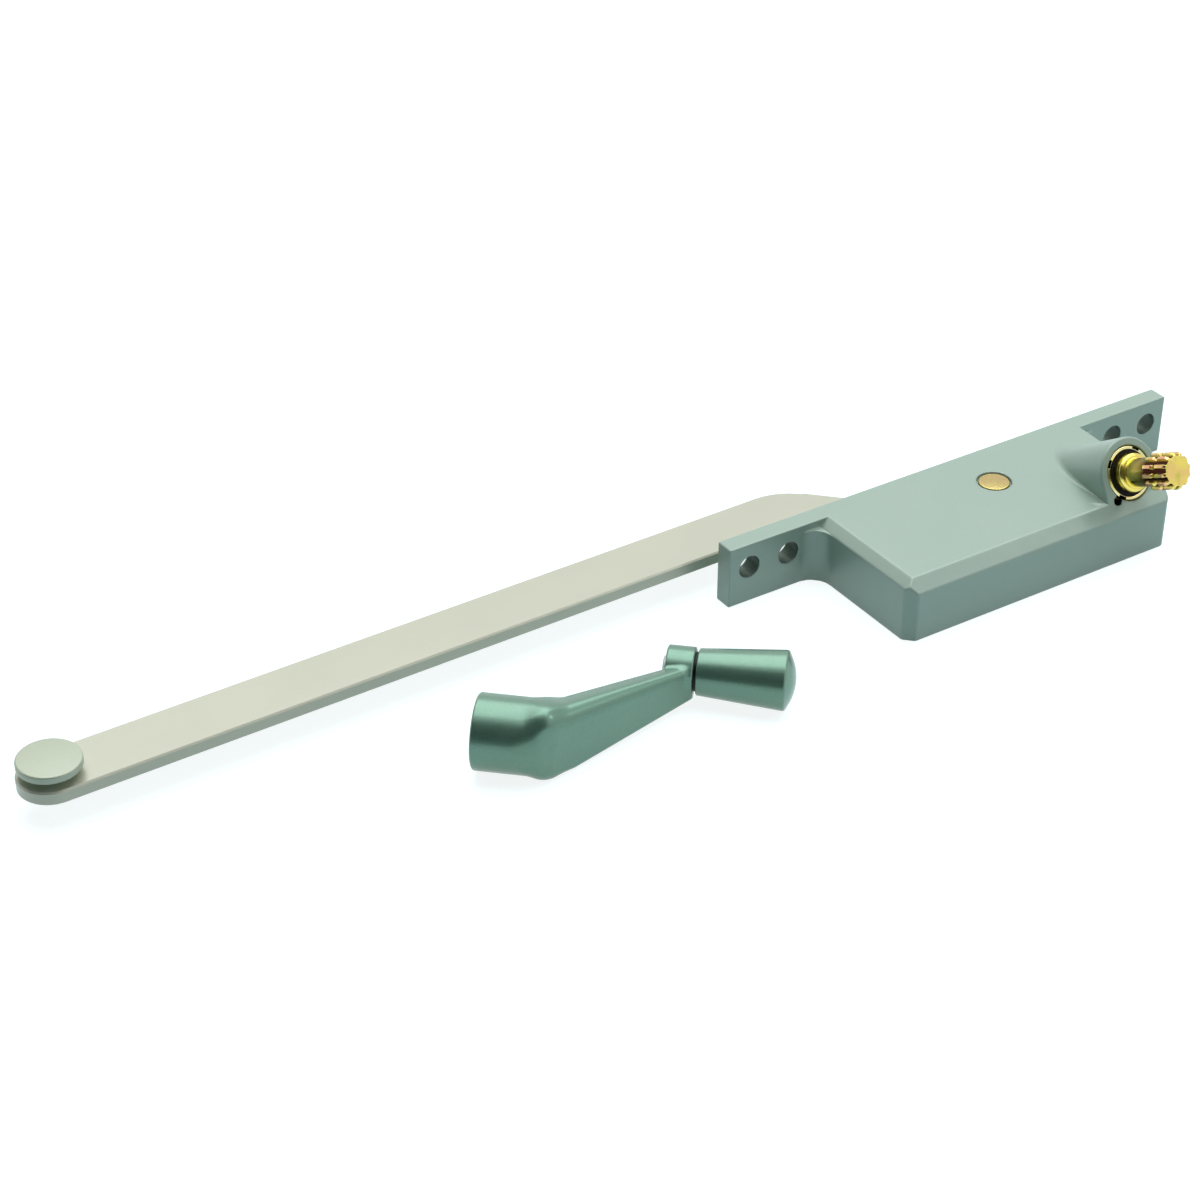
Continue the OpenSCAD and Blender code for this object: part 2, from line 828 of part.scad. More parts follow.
module gear_sector() {
    // the rim twists with the helix, true at the height of the worm's axis
    twist = twist_rate * gear_t;
    color(steel)
    at_pivot()
        difference() {
            union() {
                translate([0, 0, arm_z])
                    rotate([0, 0, twist_rate * arm_z])
                        linear_extrude(height = gear_t, twist = -twist, slices = 8) toothed_rim();
                translate([0, 0, arm_z]) linear_extrude(height = gear_t) web_plan();
                rod(hub_web_r, arm_top, gear_top);
            }
            rod(bush_d / 2 + seat_fit, arm_z - cut, gear_top + cut);
            rotate([0, 0, arm_rest])
                rivet_places() rod(rivet_r + seat_fit, arm_z - cut, gear_top + cut);
        }
}

// GUIDE BUTTON

module guide_button() {
    r = button_d / 2;
    shank_r = button_shank_d / 2;
    neck_r = button_neck_d / 2;
    low = arm_top + button_gap;
    high = low + button_t;
    foot_z = arm_z - button_foot_t;
    color(paint)
    in_arm()
        translate([button_x, arm_offset, 0])
            turned([
                [0, foot_z],
                [button_foot_r - 2 * edge, foot_z],
                [button_foot_r, foot_z + edge],
                [button_foot_r, arm_z],
                [shank_r, arm_z],
                [shank_r, arm_top],
                [neck_r, arm_top],
                [neck_r, low],
                [r - small_edge, low],
                [r, low + small_edge],
                [r, high - small_edge],
                [r - small_edge, high],
                [0, high]
            ]);
}

// CRANK SHAFT

// Radius of the worm at an axial distance u from the middle of its thread
function worm_r_at(u) =
    let(crest = pitch_n / 4 - addendum * tan(pressure) - tooth_play / 4)
    max(worm_root_r, min(worm_tip_r, worm_tip_r - (abs(u) - crest) / tan(pressure)));

module worm_thread() {
    points = 24;
    slices_a_turn = 16;
    turns = (worm_to - worm_from) / worm_lead;
    half = points / 2;
    // the middle of the thread faces the gear at the height of the crossing
    section = [for (i = [0:points - 1])
        polar(worm_r_at((i <= half ? i : i - points) / points * worm_lead), 180 - 360 * i / points)];
    out_r = worm_tip_r + cut;
    intersection() {
        translate([0, 0, worm_from])
            rotate([0, 0, 360 * worm_from / worm_lead])
                linear_extrude(height = worm_to - worm_from, twist = -360 * turns,
                               slices = ceil(turns * slices_a_turn))
                    polygon(section);
        // the thread's inner end runs out on a cone
        rotate_extrude($fn = blend)
            polygon([
                [0, worm_from],
                [worm_root_r, worm_from],
                [out_r, worm_from + out_r - worm_root_r],
                [out_r, worm_to],
                [0, worm_to]
            ]);
    }
}

// Toothed outline shared by the spline and by the handle's socket
module spline_plan(tip_r, root_r) {
    pitch = 360 / spline_teeth;
    polygon([for (k = [0:spline_teeth - 1])
        each [
            polar(root_r, pitch * (k - spline_root_half)),
            polar(tip_r, pitch * (k - spline_tip_half)),
            polar(tip_r, pitch * (k + spline_tip_half)),
            polar(root_r, pitch * (k + spline_root_half))
        ]]);
}

// One band of the spline, with its corners broken at both ends
module spline_band(from, to) {
    tip_r = spline_d / 2;
    out_r = tip_r + cut;
    intersection() {
        translate([0, 0, from])
            linear_extrude(height = to - from) spline_plan(tip_r, spline_root_d / 2);
        turned([
            [0, from],
            [tip_r - edge, from],
            [out_r, from + edge + cut],
            [out_r, to - edge - cut],
            [tip_r - edge, to],
            [0, to]
        ]);
    }
}

module crank_shaft() {
    journal_r = journal_d / 2;
    neck_r = neck_d / 2;
    tail_r = tail_d / 2;
    core_r = worm_root_r + lap;
    color(zinc)
    on_crank() {
        worm_thread();
        turned([
            [0, -tail_s],
            [tail_r - edge, -tail_s],
            [tail_r, edge - tail_s],
            [tail_r, worm_from],
            [core_r, worm_from],
            [core_r, thrust_from],
            [thrust_r, thrust_from],
            [thrust_r, thrust_to],
            [journal_r, thrust_to],
            [journal_r, journal_to - journal_lip],
            [journal_r - journal_lip * 0.3, journal_to - journal_lip * 0.3],
            [journal_r - journal_lip, journal_to],
            [neck_r, journal_to],
            [neck_r, spline_to - small_edge],
            [0, spline_to - small_edge]
        ]);
        spline_band(spline_from, spline_from + spline_band_l);
        spline_band(spline_from + spline_band_l + spline_groove_w, spline_to);
    }
}

module shaft_washer() {
    color(steel)
    on_crank() tube(thrust_r, journal_d / 2 + run_fit, bush_from, bush_from + shaft_washer_t);
}

module shaft_bush() {
    color(bronze)
    on_crank()
        tube(boss_bore_d / 2 - seat_fit, journal_d / 2 + run_fit,
             bush_from + shaft_washer_t, collar_from - seat_fit);
}

module shaft_seal() {
    color(black)
    on_crank()
        tube(collar_bore_d / 2 - seat_fit, journal_d / 2 + run_fit, collar_from, seal_top);
}

// Ring locked in the mouth of the boss, with four notches for a spanner
module retaining_collar() {
    r = collar_d / 2;
    middle_r = (collar_bore_d / 2 + r) / 2;
    color(zinc)
    on_crank()
        difference() {
            tube(r, collar_bore_d / 2, collar_from, collar_top);
            for (k = [0:3])
                rotate([0, 0, notch_turn + 90 * k])
                    translate([middle_r, -notch_w / 2, collar_top - collar_t / 2])
                        cube([r, notch_w, collar_t]);
        }
}

// HANDLE

// A rod along the socket's direction
module along_x(x, y, z) {
    translate([x, y, z]) rotate([0, 90, 0]) children();
}

// The corners of a section across the lever, as balls on a given place of its middle line
module lever_section(place, low, thick, high, r) {
    way = lever_to - lever_from;
    translate([place[0], place[1], low])
        rotate([0, 0, atan2(way[1], way[0])])
            for (y = [-1, 1] * (thick / 2 - r), z = [r, high - r])
                translate([0, y, z]) sphere(r = r, $fn = lever_round);
}

// The section that the elbow and the lever run out of
module lever_start() {
    lever_section(lever_from, 0, lever_t, lever_h, lever_edge_r);
}

module lever() {
    hull() {
        lever_start();
        lever_section(lever_to, lever_end_z, lever_end_t, lever_end_h, lever_end_edge_r);
    }
}

// The socket runs on into the lever up to the lever's middle plane
module elbow() {
    way = lever_to - lever_from;
    difference() {
        along_x(0, 0, socket_r) rod(socket_r, socket_l - lap, socket_l + 2 * socket_r);
        translate([lever_from[0], lever_from[1], 0])
            rotate([0, 0, atan2(way[1], way[0])])
                translate([-4 * socket_r, -4 * socket_r, -cut])
                    cube([8 * socket_r, 4 * socket_r, socket_d + 2 * cut]);
    }
    hull() {
        along_x(0, 0, socket_r)
            translate([0, 0, socket_l - cut]) cylinder(r = socket_r, h = cut, $fn = elbow_round);
        lever_start();
    }
}

// Grooves of the splined hole in the socket
module socket_spline() {
    linear_extrude(height = socket_depth + cut)
        rotate([0, 0, 90])
            spline_plan(spline_d / 2 + spline_room, spline_root_d / 2 + spline_room);
}

// Frame of the knob and its axle, with Z along the axle from the knob's inner face
module on_knob() {
    on_handle() along_x(handle_rise, handle_throw, hub_z) children();
}

module crank_handle() {
    hub_from = handle_rise - knob_gap - hub_l;
    color(handle_paint)
    on_handle()
        difference() {
            union() {
                along_x(0, 0, socket_r)
                    turned([
                        [0, 0],
                        [socket_r - edge, 0],
                        [socket_r, edge],
                        [socket_r, socket_l],
                        [0, socket_l]
                    ]);
                elbow();
                lever();
                along_x(hub_from, handle_throw, hub_z) rod(hub_d / 2, 0, hub_l);
            }
            along_x(-cut, 0, socket_r) socket_spline();
            along_x(0, 0, socket_r) rod(spline_d / 2 + entry_room, -cut, entry_l);
            along_x(hub_from, handle_throw, hub_z) rod(axle_d / 2 + seat_fit, -cut, hub_l + cut);
            in_set_screw() rod(set_screw_d / 2 + seat_fit, 0, socket_d);
        }
}

// Grub screw with a hexagon socket, in the side of the handle's socket
module in_set_screw() {
    translate([set_screw_at, 0, socket_r]) rotate([-90, 0, 0]) children();
}

module handle_set_screw() {
    color(black)
    on_handle()
        in_set_screw()
            difference() {
                rod(set_screw_d / 2, set_screw_from, set_screw_to);
                translate([0, 0, set_screw_to - hexagon_deep])
                    cylinder(d = set_screw_d / 2, h = hexagon_deep + cut, $fn = 6);
            }
}

module knob_axle() {
    r = axle_d / 2;
    start = -knob_gap - hub_l;
    groove_r = r - clip_deep;
    color(steel)
    on_knob()
        turned([
            [0, start - axle_head_t],
            [axle_head_r - edge, start - axle_head_t],
            [axle_head_r, start - axle_head_t + edge],
            [axle_head_r, start],
            [r, start],
            [r, clip_from - face_gap],
            [groove_r, clip_from - face_gap],
            [groove_r, clip_to + face_gap],
            [r, clip_to + face_gap],
            [r, axle_in - edge],
            [r - edge, axle_in],
            [0, axle_in]
        ]);
}

module knob_washer() {
    color(black)
    on_knob() tube(knob_d / 2 - 2 * edge, axle_d / 2 + seat_fit, lap - knob_gap, -face_gap);
}

module handle_knob() {
    r = knob_d / 2;
    end_r = knob_end_d / 2;
    bore_r = axle_d / 2 + run_fit;
    // the dome is part of a sphere
    dome_r = end_r - knob_edge - knob_flat;
    dome_sphere_r = (dome_r * dome_r + knob_dome * knob_dome) / (2 * knob_dome);
    color(handle_paint)
    on_knob()
        difference() {
            rotate_extrude($fn = fine) {
                polygon([
                    [0, 0],
                    [r - small_edge, 0],
                    [r, small_edge],
                    [end_r, knob_l - knob_edge],
                    [end_r - knob_edge * 0.3, knob_l - knob_edge * 0.3],
                    [end_r - knob_edge, knob_l],
                    [0, knob_l]
                ]);
                intersection() {
                    translate([0, knob_l + knob_dome - dome_sphere_r])
                        circle(r = dome_sphere_r, $fn = 2 * fine);
                    translate([0, knob_l - cut]) square([dome_r, knob_dome + 2 * cut]);
                }
            }
            rod(bore_r, -cut, axle_in + knob_bore_room);
            rod(bore_r + clip_deep, clip_from - face_gap, clip_to + face_gap);
        }
}

module knob_clip() {
    r = axle_d / 2;
    color(steel)
    on_knob()
        difference() {
            tube(r + clip_deep - face_gap, r - clip_deep + seat_fit, clip_from, clip_to);
            translate([0, -edge, clip_from - cut]) cube([axle_d, 2 * edge, clip_w + 2 * cut]);
        }
}

housing();
base_plate();
base_plate_screws();
pivot_pin();
pivot_spacer();
pivot_washer();
pivot_bush();
arm_bar();
gear_sector();
sector_rivets();
guide_button();
crank_shaft();
shaft_bush();
shaft_washer();
shaft_seal();
retaining_collar();
crank_handle();
handle_set_screw();
knob_axle();
knob_washer();
handle_knob();
knob_clip();
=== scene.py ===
import math

import bmesh
import bpy
import numpy as np
from mathutils import Matrix, Vector


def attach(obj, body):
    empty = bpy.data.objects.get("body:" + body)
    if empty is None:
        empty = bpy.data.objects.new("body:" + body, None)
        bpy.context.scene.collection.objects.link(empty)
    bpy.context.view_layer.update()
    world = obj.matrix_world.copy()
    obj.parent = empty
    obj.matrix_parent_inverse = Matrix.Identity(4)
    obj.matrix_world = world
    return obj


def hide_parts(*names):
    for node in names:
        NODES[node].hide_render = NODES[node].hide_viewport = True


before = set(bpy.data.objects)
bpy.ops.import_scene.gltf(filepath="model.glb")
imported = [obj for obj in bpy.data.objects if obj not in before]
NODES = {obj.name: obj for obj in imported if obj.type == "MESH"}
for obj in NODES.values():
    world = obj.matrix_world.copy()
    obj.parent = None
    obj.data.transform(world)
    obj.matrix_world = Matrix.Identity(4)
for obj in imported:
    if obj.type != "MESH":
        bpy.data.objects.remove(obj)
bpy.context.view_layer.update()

MM = 0.001
SAME_POINT = 0.002 * MM
TAU = 2 * math.pi

# Sizes and places of the CAD source, in millimetres

# Flange with its screw holes, and body
FLANGE_L = 130.9
FLANGE_T = 4.8
BASE_Z = -9.25
TOP_Z = 6.05
OUTER_SCREWS = 119.9
INNER_SCREWS = 98.0
SCREW_HOLE_R = 2.75
BODY_LEFT = 40.45
BODY_RIGHT = 38.15
SIDE_DRAFT = 1.7
BODY_D = 38.3
FRONT_CHAMFER = 2.9
SIDE_CHAMFER_W = 2.6
SIDE_CHAMFER_H = 1.9
CORNER_CHAMFER = 2.3
CORNER_R = 1.4
FILLET_R = 5.0
# Inside of the casting, and the rebate, posts and pilots of the base plate
WALL_T = 3.0
BACK_WALL_T = 2.2
WINDOW_WALL = 1.8
ROOF_Z = 3.75
PLATE_Z = -8.05
PLATE_RIM = 1.5
PLATE_CORNER_R = 2.0
PLATE_SCREWS = [(-35.15, -33.0), (-35.15, -7.6), (31.15, -33.0), (32.15, -5.3)]
POST_R = 3.4
PILOT_R = 1.33
PILOT_L = 7.0
# Pivot with its bore and recess, the room round it, the arm and its guide button
PIVOT = (4.05, -13.1)
PIN_BORE_R = 3.03
PIN_RECESS_R = 4.12
PIN_HEAD_R = 3.65
PIN_HEAD_T = 1.0
SEAT_R = 5.8
SEAT_Z = 1.95
ROOM_R = 19.97
WINDOW_Z = (-3.75, 1.55)
ARM_Z = -3.35
ARM_TOP = -0.175
ARM_REST = 0.7
BUTTON = (-227.17334, 25.5)
# Boss and bores of the crank, along whose axis places are measured from the pivot's plane
CRANK_X = 27.55
CRANK_TILT = math.radians(28.3)
MOUTH_S = 22.6
BOSS_R = 8.45
BOSS_DRAFT = math.radians(5)
BOSS_FROM = -6.0
BORE_R = 6.5
STAKE_AT = (-5.24, -5.33)
STAKE_R = 1.1
STAKE_DEPTH = 5.0
TAIL_BORE_R = 2.35
TAIL_BORE_L = 10.6
# Handle and knob. A pair along the lever holds its value at the socket and at the hub
HANDLE_AT = (-143.25, -23.9)
HANDLE_TURN = -42.7
SOCKET_R = 8.2
SOCKET_DEPTH = 11.0
LEVER_FROM = (13.4, -1.3)
LEVER_TO = (39.1, 28.3)
LEVER_HALF = (4.5, 2.3)
LEVER_LOW = (0.0, 1.4)
HUB_R = 5.3
HUB_X = (35.2, 41.4)
KNOB_AT = (42.0, 31.3, 6.7)
KNOB_R = 5.12
KNOB_END_R = 6.65
KNOB_L = 19.5
KNOB_DOME = 1.7
AXLE_BORE_R = 2.03
# Spline, neck and journal of the crank shaft, its worm's thread and its thrust collar
SPLINE_TEETH = 12
SPLINE_TIP_R = 4.35
SPLINE_ROOT_R = 3.45
SPLINE_TIP_HALF = 0.16
SPLINE_ROOT_HALF = 0.32
NECK_R = 3.35
JOURNAL_R = 4.56
WORM_LEAD = 2.6993
WORM_FROM = -5.4
WORM_TO = 6.3
WORM_TIP_R = 5.8706
WORM_ROOT_R = 4.1582
WORM_CREST = 0.317
FLANK_SLOPE = math.tan(math.radians(20))
THRUST = (7.3, 8.8)
THRUST_R = 6.1


# Frames of the pieces


def place(x, y, z):
    """A shift in millimetres."""
    return Matrix.Translation((x * MM, y * MM, z * MM))


def turn(degrees, axis):
    """A turn about an axis."""
    return Matrix.Rotation(math.radians(degrees), 4, axis)


AT_PIVOT = place(PIVOT[0], PIVOT[1], 0)
IN_ARM = AT_PIVOT @ turn(ARM_REST, "Z")
ON_BUTTON = IN_ARM @ place(BUTTON[0], BUTTON[1], 0)
ON_CRANK = place(CRANK_X, PIVOT[1], 0) @ Matrix.Rotation(math.pi / 2 - CRANK_TILT, 4, "X")
ON_HANDLE = place(HANDLE_AT[0], HANDLE_AT[1], BASE_Z) @ turn(HANDLE_TURN, "Z")
ON_KNOB = ON_HANDLE @ place(*KNOB_AT) @ turn(90, "Y")


# Finished pieces and their meshes


def add_object(name, mesh, matrix, material, body, nodes):
    """A finished piece: placed, painted, riding on its body, and standing for its nodes."""
    piece = bpy.data.objects.new(name, mesh)
    bpy.context.scene.collection.objects.link(piece)
    piece.matrix_world = matrix
    mesh.materials.clear()
    mesh.materials.append(material)
    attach(piece, body)
    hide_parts(*nodes)
    return piece


def smooth(mesh, angle=None):
    """Smooth shading, with edges sharper than an angle in degrees kept crisp."""
    mesh.shade_smooth()
    if angle is not None:
        mesh.set_sharp_from_angle(angle=math.radians(angle))


def weigh_normals(piece):
    """Large faces stay flat, and the narrow ones along their edges shade round."""
    weights = piece.modifiers.new("normals", "WEIGHTED_NORMAL")
    weights.keep_sharp = True
    weights.weight = 80


def grid_mesh(name, rings):
    """A closed skin through rings of points in millimetres. A ring with one point is a pole."""
    verts = []
    index = []
    for ring in rings:
        index.append(list(range(len(verts), len(verts) + len(ring))))
        verts.extend(ring)
    faces = []
    for low, high in zip(index, index[1:]):
        count = max(len(low), len(high))
        for i in range(count):
            j = (i + 1) % count
            if len(low) == 1:
                faces.append((low[0], high[j], high[i]))
            elif len(high) == 1:
                faces.append((low[i], low[j], high[0]))
            else:
                faces.append((low[i], low[j], high[j], high[i]))
    mesh = bpy.data.meshes.new(name)
    mesh.from_pydata([tuple(c * MM for c in v) for v in verts], [], faces)
    mesh.validate()
    return mesh


def rounded(points, steps=6, share=0.49):
    """A profile of (r, z[, radius]) corners, each rounded by an arc within a share of its sides."""
    out = [points[0][:2]]
    for before, here, after in zip(points, points[1:], points[2:]):
        corner = Vector(here[:2])
        size = here[2] if len(here) > 2 else 0
        back = Vector(before[:2]) - corner
        ahead = Vector(after[:2]) - corner
        half = back.angle(ahead) / 2
        if size == 0:
            out.append(tuple(corner))
            continue
        reach = min(size / math.tan(half), share * back.length, share * ahead.length)
        size = reach * math.tan(half)
        middle = (back.normalized() + ahead.normalized()).normalized()
        centre = corner + middle * size / math.sin(half)
        start = corner + back.normalized() * reach - centre
        end = corner + ahead.normalized() * reach - centre
        sweep = math.atan2(start.x * end.y - start.y * end.x, start.dot(end))
        for k in range(steps + 1):
            a = sweep * k / steps
            out.append((centre.x + start.x * math.cos(a) - start.y * math.sin(a),
                        centre.y + start.x * math.sin(a) + start.y * math.cos(a)))
    out.append(points[-1][:2])
    return out


def circle(r, z, steps, nothing=1e-6):
    """One ring of points about Z, or a pole where the radius is nothing."""
    if r < nothing:
        return [(0, 0, z)]
    return [(r * math.cos(TAU * k / steps), r * math.sin(TAU * k / steps), z) for k in range(steps)]


def lathe(name, profile, steps=128):
    """A solid of revolution about Z. The profile starts and ends on the axis."""
    mesh = grid_mesh(name, [circle(r, z, steps) for r, z in profile])
    smooth(mesh, 40)
    return mesh


def softened(node, name, width, segments=3, sharp=25, flat=0.6):
    """A copy of a CAD node's mesh with its sharp edges rounded, in a second material."""
    mesh = NODES[node].data.copy()
    mesh.name = name
    work = bmesh.new()
    work.from_mesh(mesh)
    bmesh.ops.remove_doubles(work, verts=work.verts, dist=SAME_POINT)
    bmesh.ops.dissolve_limit(work, angle_limit=math.radians(flat), verts=work.verts,
                             edges=work.edges, use_dissolve_boundaries=False)
    edges = [e for e in work.edges
             if len(e.link_faces) == 2 and e.calc_face_angle(0) > math.radians(sharp)]
    bmesh.ops.bevel(work, geom=edges, offset=width * MM, offset_type="OFFSET", segments=segments,
                    profile=0.5, affect="EDGES", clamp_overlap=True, harden_normals=False,
                    loop_slide=True, miter_outer="ARC", material=1)
    work.to_mesh(mesh)
    work.free()
    smooth(mesh)
    return mesh


# Distance functions, in millimetres and negative inside, and the skins they are meshed to

# More tiles than lie along any side of a skin, so that each tile has a number of its own
TILES = 24
# Steps that draw a skin onto its form, and the least squared slope that they reckon with
DRAWING_STEPS = 3
LEAST_SLOPE = 0.1


def overlap(a, b, r=0.0):
    """What two forms share, with an edge of radius r."""
    return np.minimum(-r, np.maximum(a, b)) + np.hypot(np.maximum(a + r, 0), np.maximum(b + r, 0))


def union(a, b, r=0.0):
    """Two forms together, with a hollow of radius r along their crease."""
    return -overlap(-a, -b, r)


def blend(pair, t):
    """The value between two ends of a range."""
    return pair[0] + (pair[1] - pair[0]) * t


def gradient(distance, points, reach=0.02):
    """Slope of a distance function at points."""
    out = np.empty_like(points)
    for axis in range(3):
        step = np.zeros(3)
        step[axis] = reach
        ahead = distance(*(points + step).T)
        behind = distance(*(points - step).T)
        out[:, axis] = (ahead - behind) / (2 * reach)
    return out


def cell_points(value, axes, cells, step):
    """One point in each cell that the surface crosses: the middle of its cuts through the edges."""
    total = np.zeros((len(cells), 3))
    crossings = np.zeros(len(cells))
    corners = [(i, j, k) for i in (0, 1) for j in (0, 1) for k in (0, 1)]
    at = {c: value[cells[:, 0] + c[0], cells[:, 1] + c[1], cells[:, 2] + c[2]] for c in corners}
    for low in corners:
        for axis in range(3):
            if low[axis]:
                continue
            high = tuple(1 if d == axis else v for d, v in enumerate(low))
            a, b = at[low], at[high]
            cuts = (a < 0) != (b < 0)
            share = np.where(cuts, a / np.where(cuts, a - b, 1), 0)
            for d in range(3):
                total[:, d] += cuts * (share if d == axis else low[d])
            crossings += cuts
    start = np.stack([axes[d][cells[:, d]] for d in range(3)], axis=1)
    return start + step * total / crossings[:, None]


def join_flat(mesh, flat, tile=8.0):
    """Joins flat regions to single faces, one tile in millimetres at a time, which is quick."""
    middles = np.empty(len(mesh.polygons) * 3)
    mesh.polygons.foreach_get("center", middles)
    cell = np.floor(middles.reshape(-1, 3) / (tile * MM)).astype(int)
    cell -= cell.min(axis=0)
    number = cell @ (1, TILES, TILES * TILES)
    mesh.polygons.foreach_set("material_index", number.astype(np.int32))
    work = bmesh.new()
    work.from_mesh(mesh)
    bmesh.ops.dissolve_limit(work, angle_limit=math.radians(flat), verts=work.verts,
                             edges=work.edges, use_dissolve_boundaries=False, delimit={"MATERIAL"})
    for face in work.faces:
        face.material_index = 0
    work.to_mesh(mesh)
    work.free()


def skin(name, distance, low, high, step, flat=0.25):
    """A surface net of a form, drawn onto it exactly, with flat regions joined to single faces."""
    axes = [np.arange(a - step, b + 2 * step, step) for a, b in zip(low, high)]
    x, y, z = (axis.astype(np.float32) for axis in axes)
    value = distance(x[:, None, None], y[None, :, None], z[None, None, :])
    inside = value < 0
    corner_count = np.zeros([n - 1 for n in inside.shape], np.int8)
    for i in (0, 1):
        for j in (0, 1):
            for k in (0, 1):
                corner_count += inside[i:len(x) - 1 + i, j:len(y) - 1 + j, k:len(z) - 1 + k]
    cells = np.argwhere((corner_count > 0) & (corner_count < 8))
    index = np.full(corner_count.shape, -1)
    index[tuple(cells.T)] = np.arange(len(cells))
    points = cell_points(value, axes, cells, step)
    for _ in range(DRAWING_STEPS):
        slope = gradient(distance, points)
        steepness = np.maximum((slope ** 2).sum(axis=1), LEAST_SLOPE)
        points -= slope * (distance(*points.T) / steepness)[:, None]
    faces = []
    for d in range(3):
        order = (d, (d + 1) % 3, (d + 2) % 3)
        filled = inside.transpose(order)
        ids = index.transpose(order)
        i, j, k = np.nonzero(filled[:-1, 1:-1, 1:-1] != filled[1:, 1:-1, 1:-1])
        around = [ids[i, j, k], ids[i, j + 1, k], ids[i, j + 1, k + 1], ids[i, j, k + 1]]
        quads = np.stack(around, axis=1)
        turned = filled[i + 1, j + 1, k + 1]
        quads[turned] = quads[turned][:, ::-1]
        faces.append(quads)
    faces = np.concatenate(faces)
    mesh = bpy.data.meshes.new(name)
    mesh.vertices.add(len(points))
    mesh.vertices.foreach_set("co", (points * MM).ravel())
    mesh.loops.add(faces.size)
    mesh.loops.foreach_set("vertex_index", faces.ravel())
    mesh.polygons.add(len(faces))
    mesh.polygons.foreach_set("loop_start", np.arange(0, faces.size, 4))
    mesh.update(calc_edges=True)
    mesh.validate()
    join_flat(mesh, flat)
    mesh.shade_smooth()
    kept = np.empty(len(mesh.vertices) * 3)
    mesh.vertices.foreach_get("co", kept)
    normals = gradient(distance, kept.reshape(-1, 3) / MM)
    normals /= np.linalg.norm(normals, axis=1)[:, None]
    mesh.normals_split_custom_set_from_vertices(normals)
    return mesh


# The casting

# Roundings of its edges, of the rims of its holes, of the boss's mouth and of the boss's foot
EDGE = 0.28
RIM = 0.2
BOSS_EDGE = 0.6
BOSS_FILLET = 0.9
# The boss's fillet grows at this rate, from this distance short of the mouth
BOSS_FILLET_GROWTH = 0.12
BOSS_FILLET_GAP = 2.0
# The least wall over the shaft's bore, and the place along the crank up to which it is kept
SHELL_T = 0.55
SHELL_TO = MOUTH_S - 8
# How far forms that join or cut run into each other
LAP = 1.0


def casting_block(x, y, z):
    """Flange, body and the fillets between them."""
    top = z - TOP_Z
    bottom = BASE_Z - z
    flange = overlap(top, -FLANGE_T - y, EDGE)
    flange = overlap(flange, np.abs(x) - FLANGE_L / 2, EDGE)
    flange = overlap(flange, np.maximum(y, bottom), EDGE)
    corner = (-x - y - (BODY_LEFT + BODY_D - CORNER_CHAMFER)) / math.sqrt(2)
    lean = math.hypot(BODY_D, SIDE_DRAFT)
    right = ((x - BODY_RIGHT) * BODY_D - y * SIDE_DRAFT) / lean
    sides = overlap(overlap(-x - BODY_LEFT, corner, EDGE), -y - BODY_D, EDGE)
    sides = overlap(sides, right, CORNER_R)
    front_cut = (-y + z - (BODY_D + TOP_Z - FRONT_CHAMFER)) / math.sqrt(2)
    slant = math.hypot(SIDE_CHAMFER_W, SIDE_CHAMFER_H)
    side_cut = (SIDE_CHAMFER_W * (top + SIDE_CHAMFER_H) - SIDE_CHAMFER_H * (x + BODY_LEFT)) / slant
    roof = overlap(overlap(top, front_cut, EDGE), side_cut, EDGE)
    body = overlap(overlap(sides, roof, EDGE), bottom, EDGE)
    block = np.minimum(flange, np.maximum(body, y + FLANGE_T / 2))
    right_start = BODY_RIGHT - SIDE_DRAFT * (FLANGE_T + FILLET_R) / BODY_D
    for out, start in ((-x, BODY_LEFT), (x, right_start)):
        hollow = FILLET_R - np.hypot(out - start - FILLET_R, y + FLANGE_T + FILLET_R)
        fillet = overlap(hollow, np.maximum(top + SIDE_CHAMFER_H, bottom), RIM)
        fillet = np.maximum(fillet, np.maximum(out - start - FILLET_R, start - LAP - out))
        fillet = np.maximum(fillet, np.maximum(-FLANGE_T - FILLET_R - y, y + FLANGE_T - LAP))
        block = np.minimum(block, fillet)
    return block


def crank_axes(x, y, z):
    """Places across, up and along the crank's axis."""
    c, s = math.cos(CRANK_TILT), math.sin(CRANK_TILT)
    ahead = PIVOT[1] - y
    return x - CRANK_X, z * c - ahead * s, ahead * c + z * s


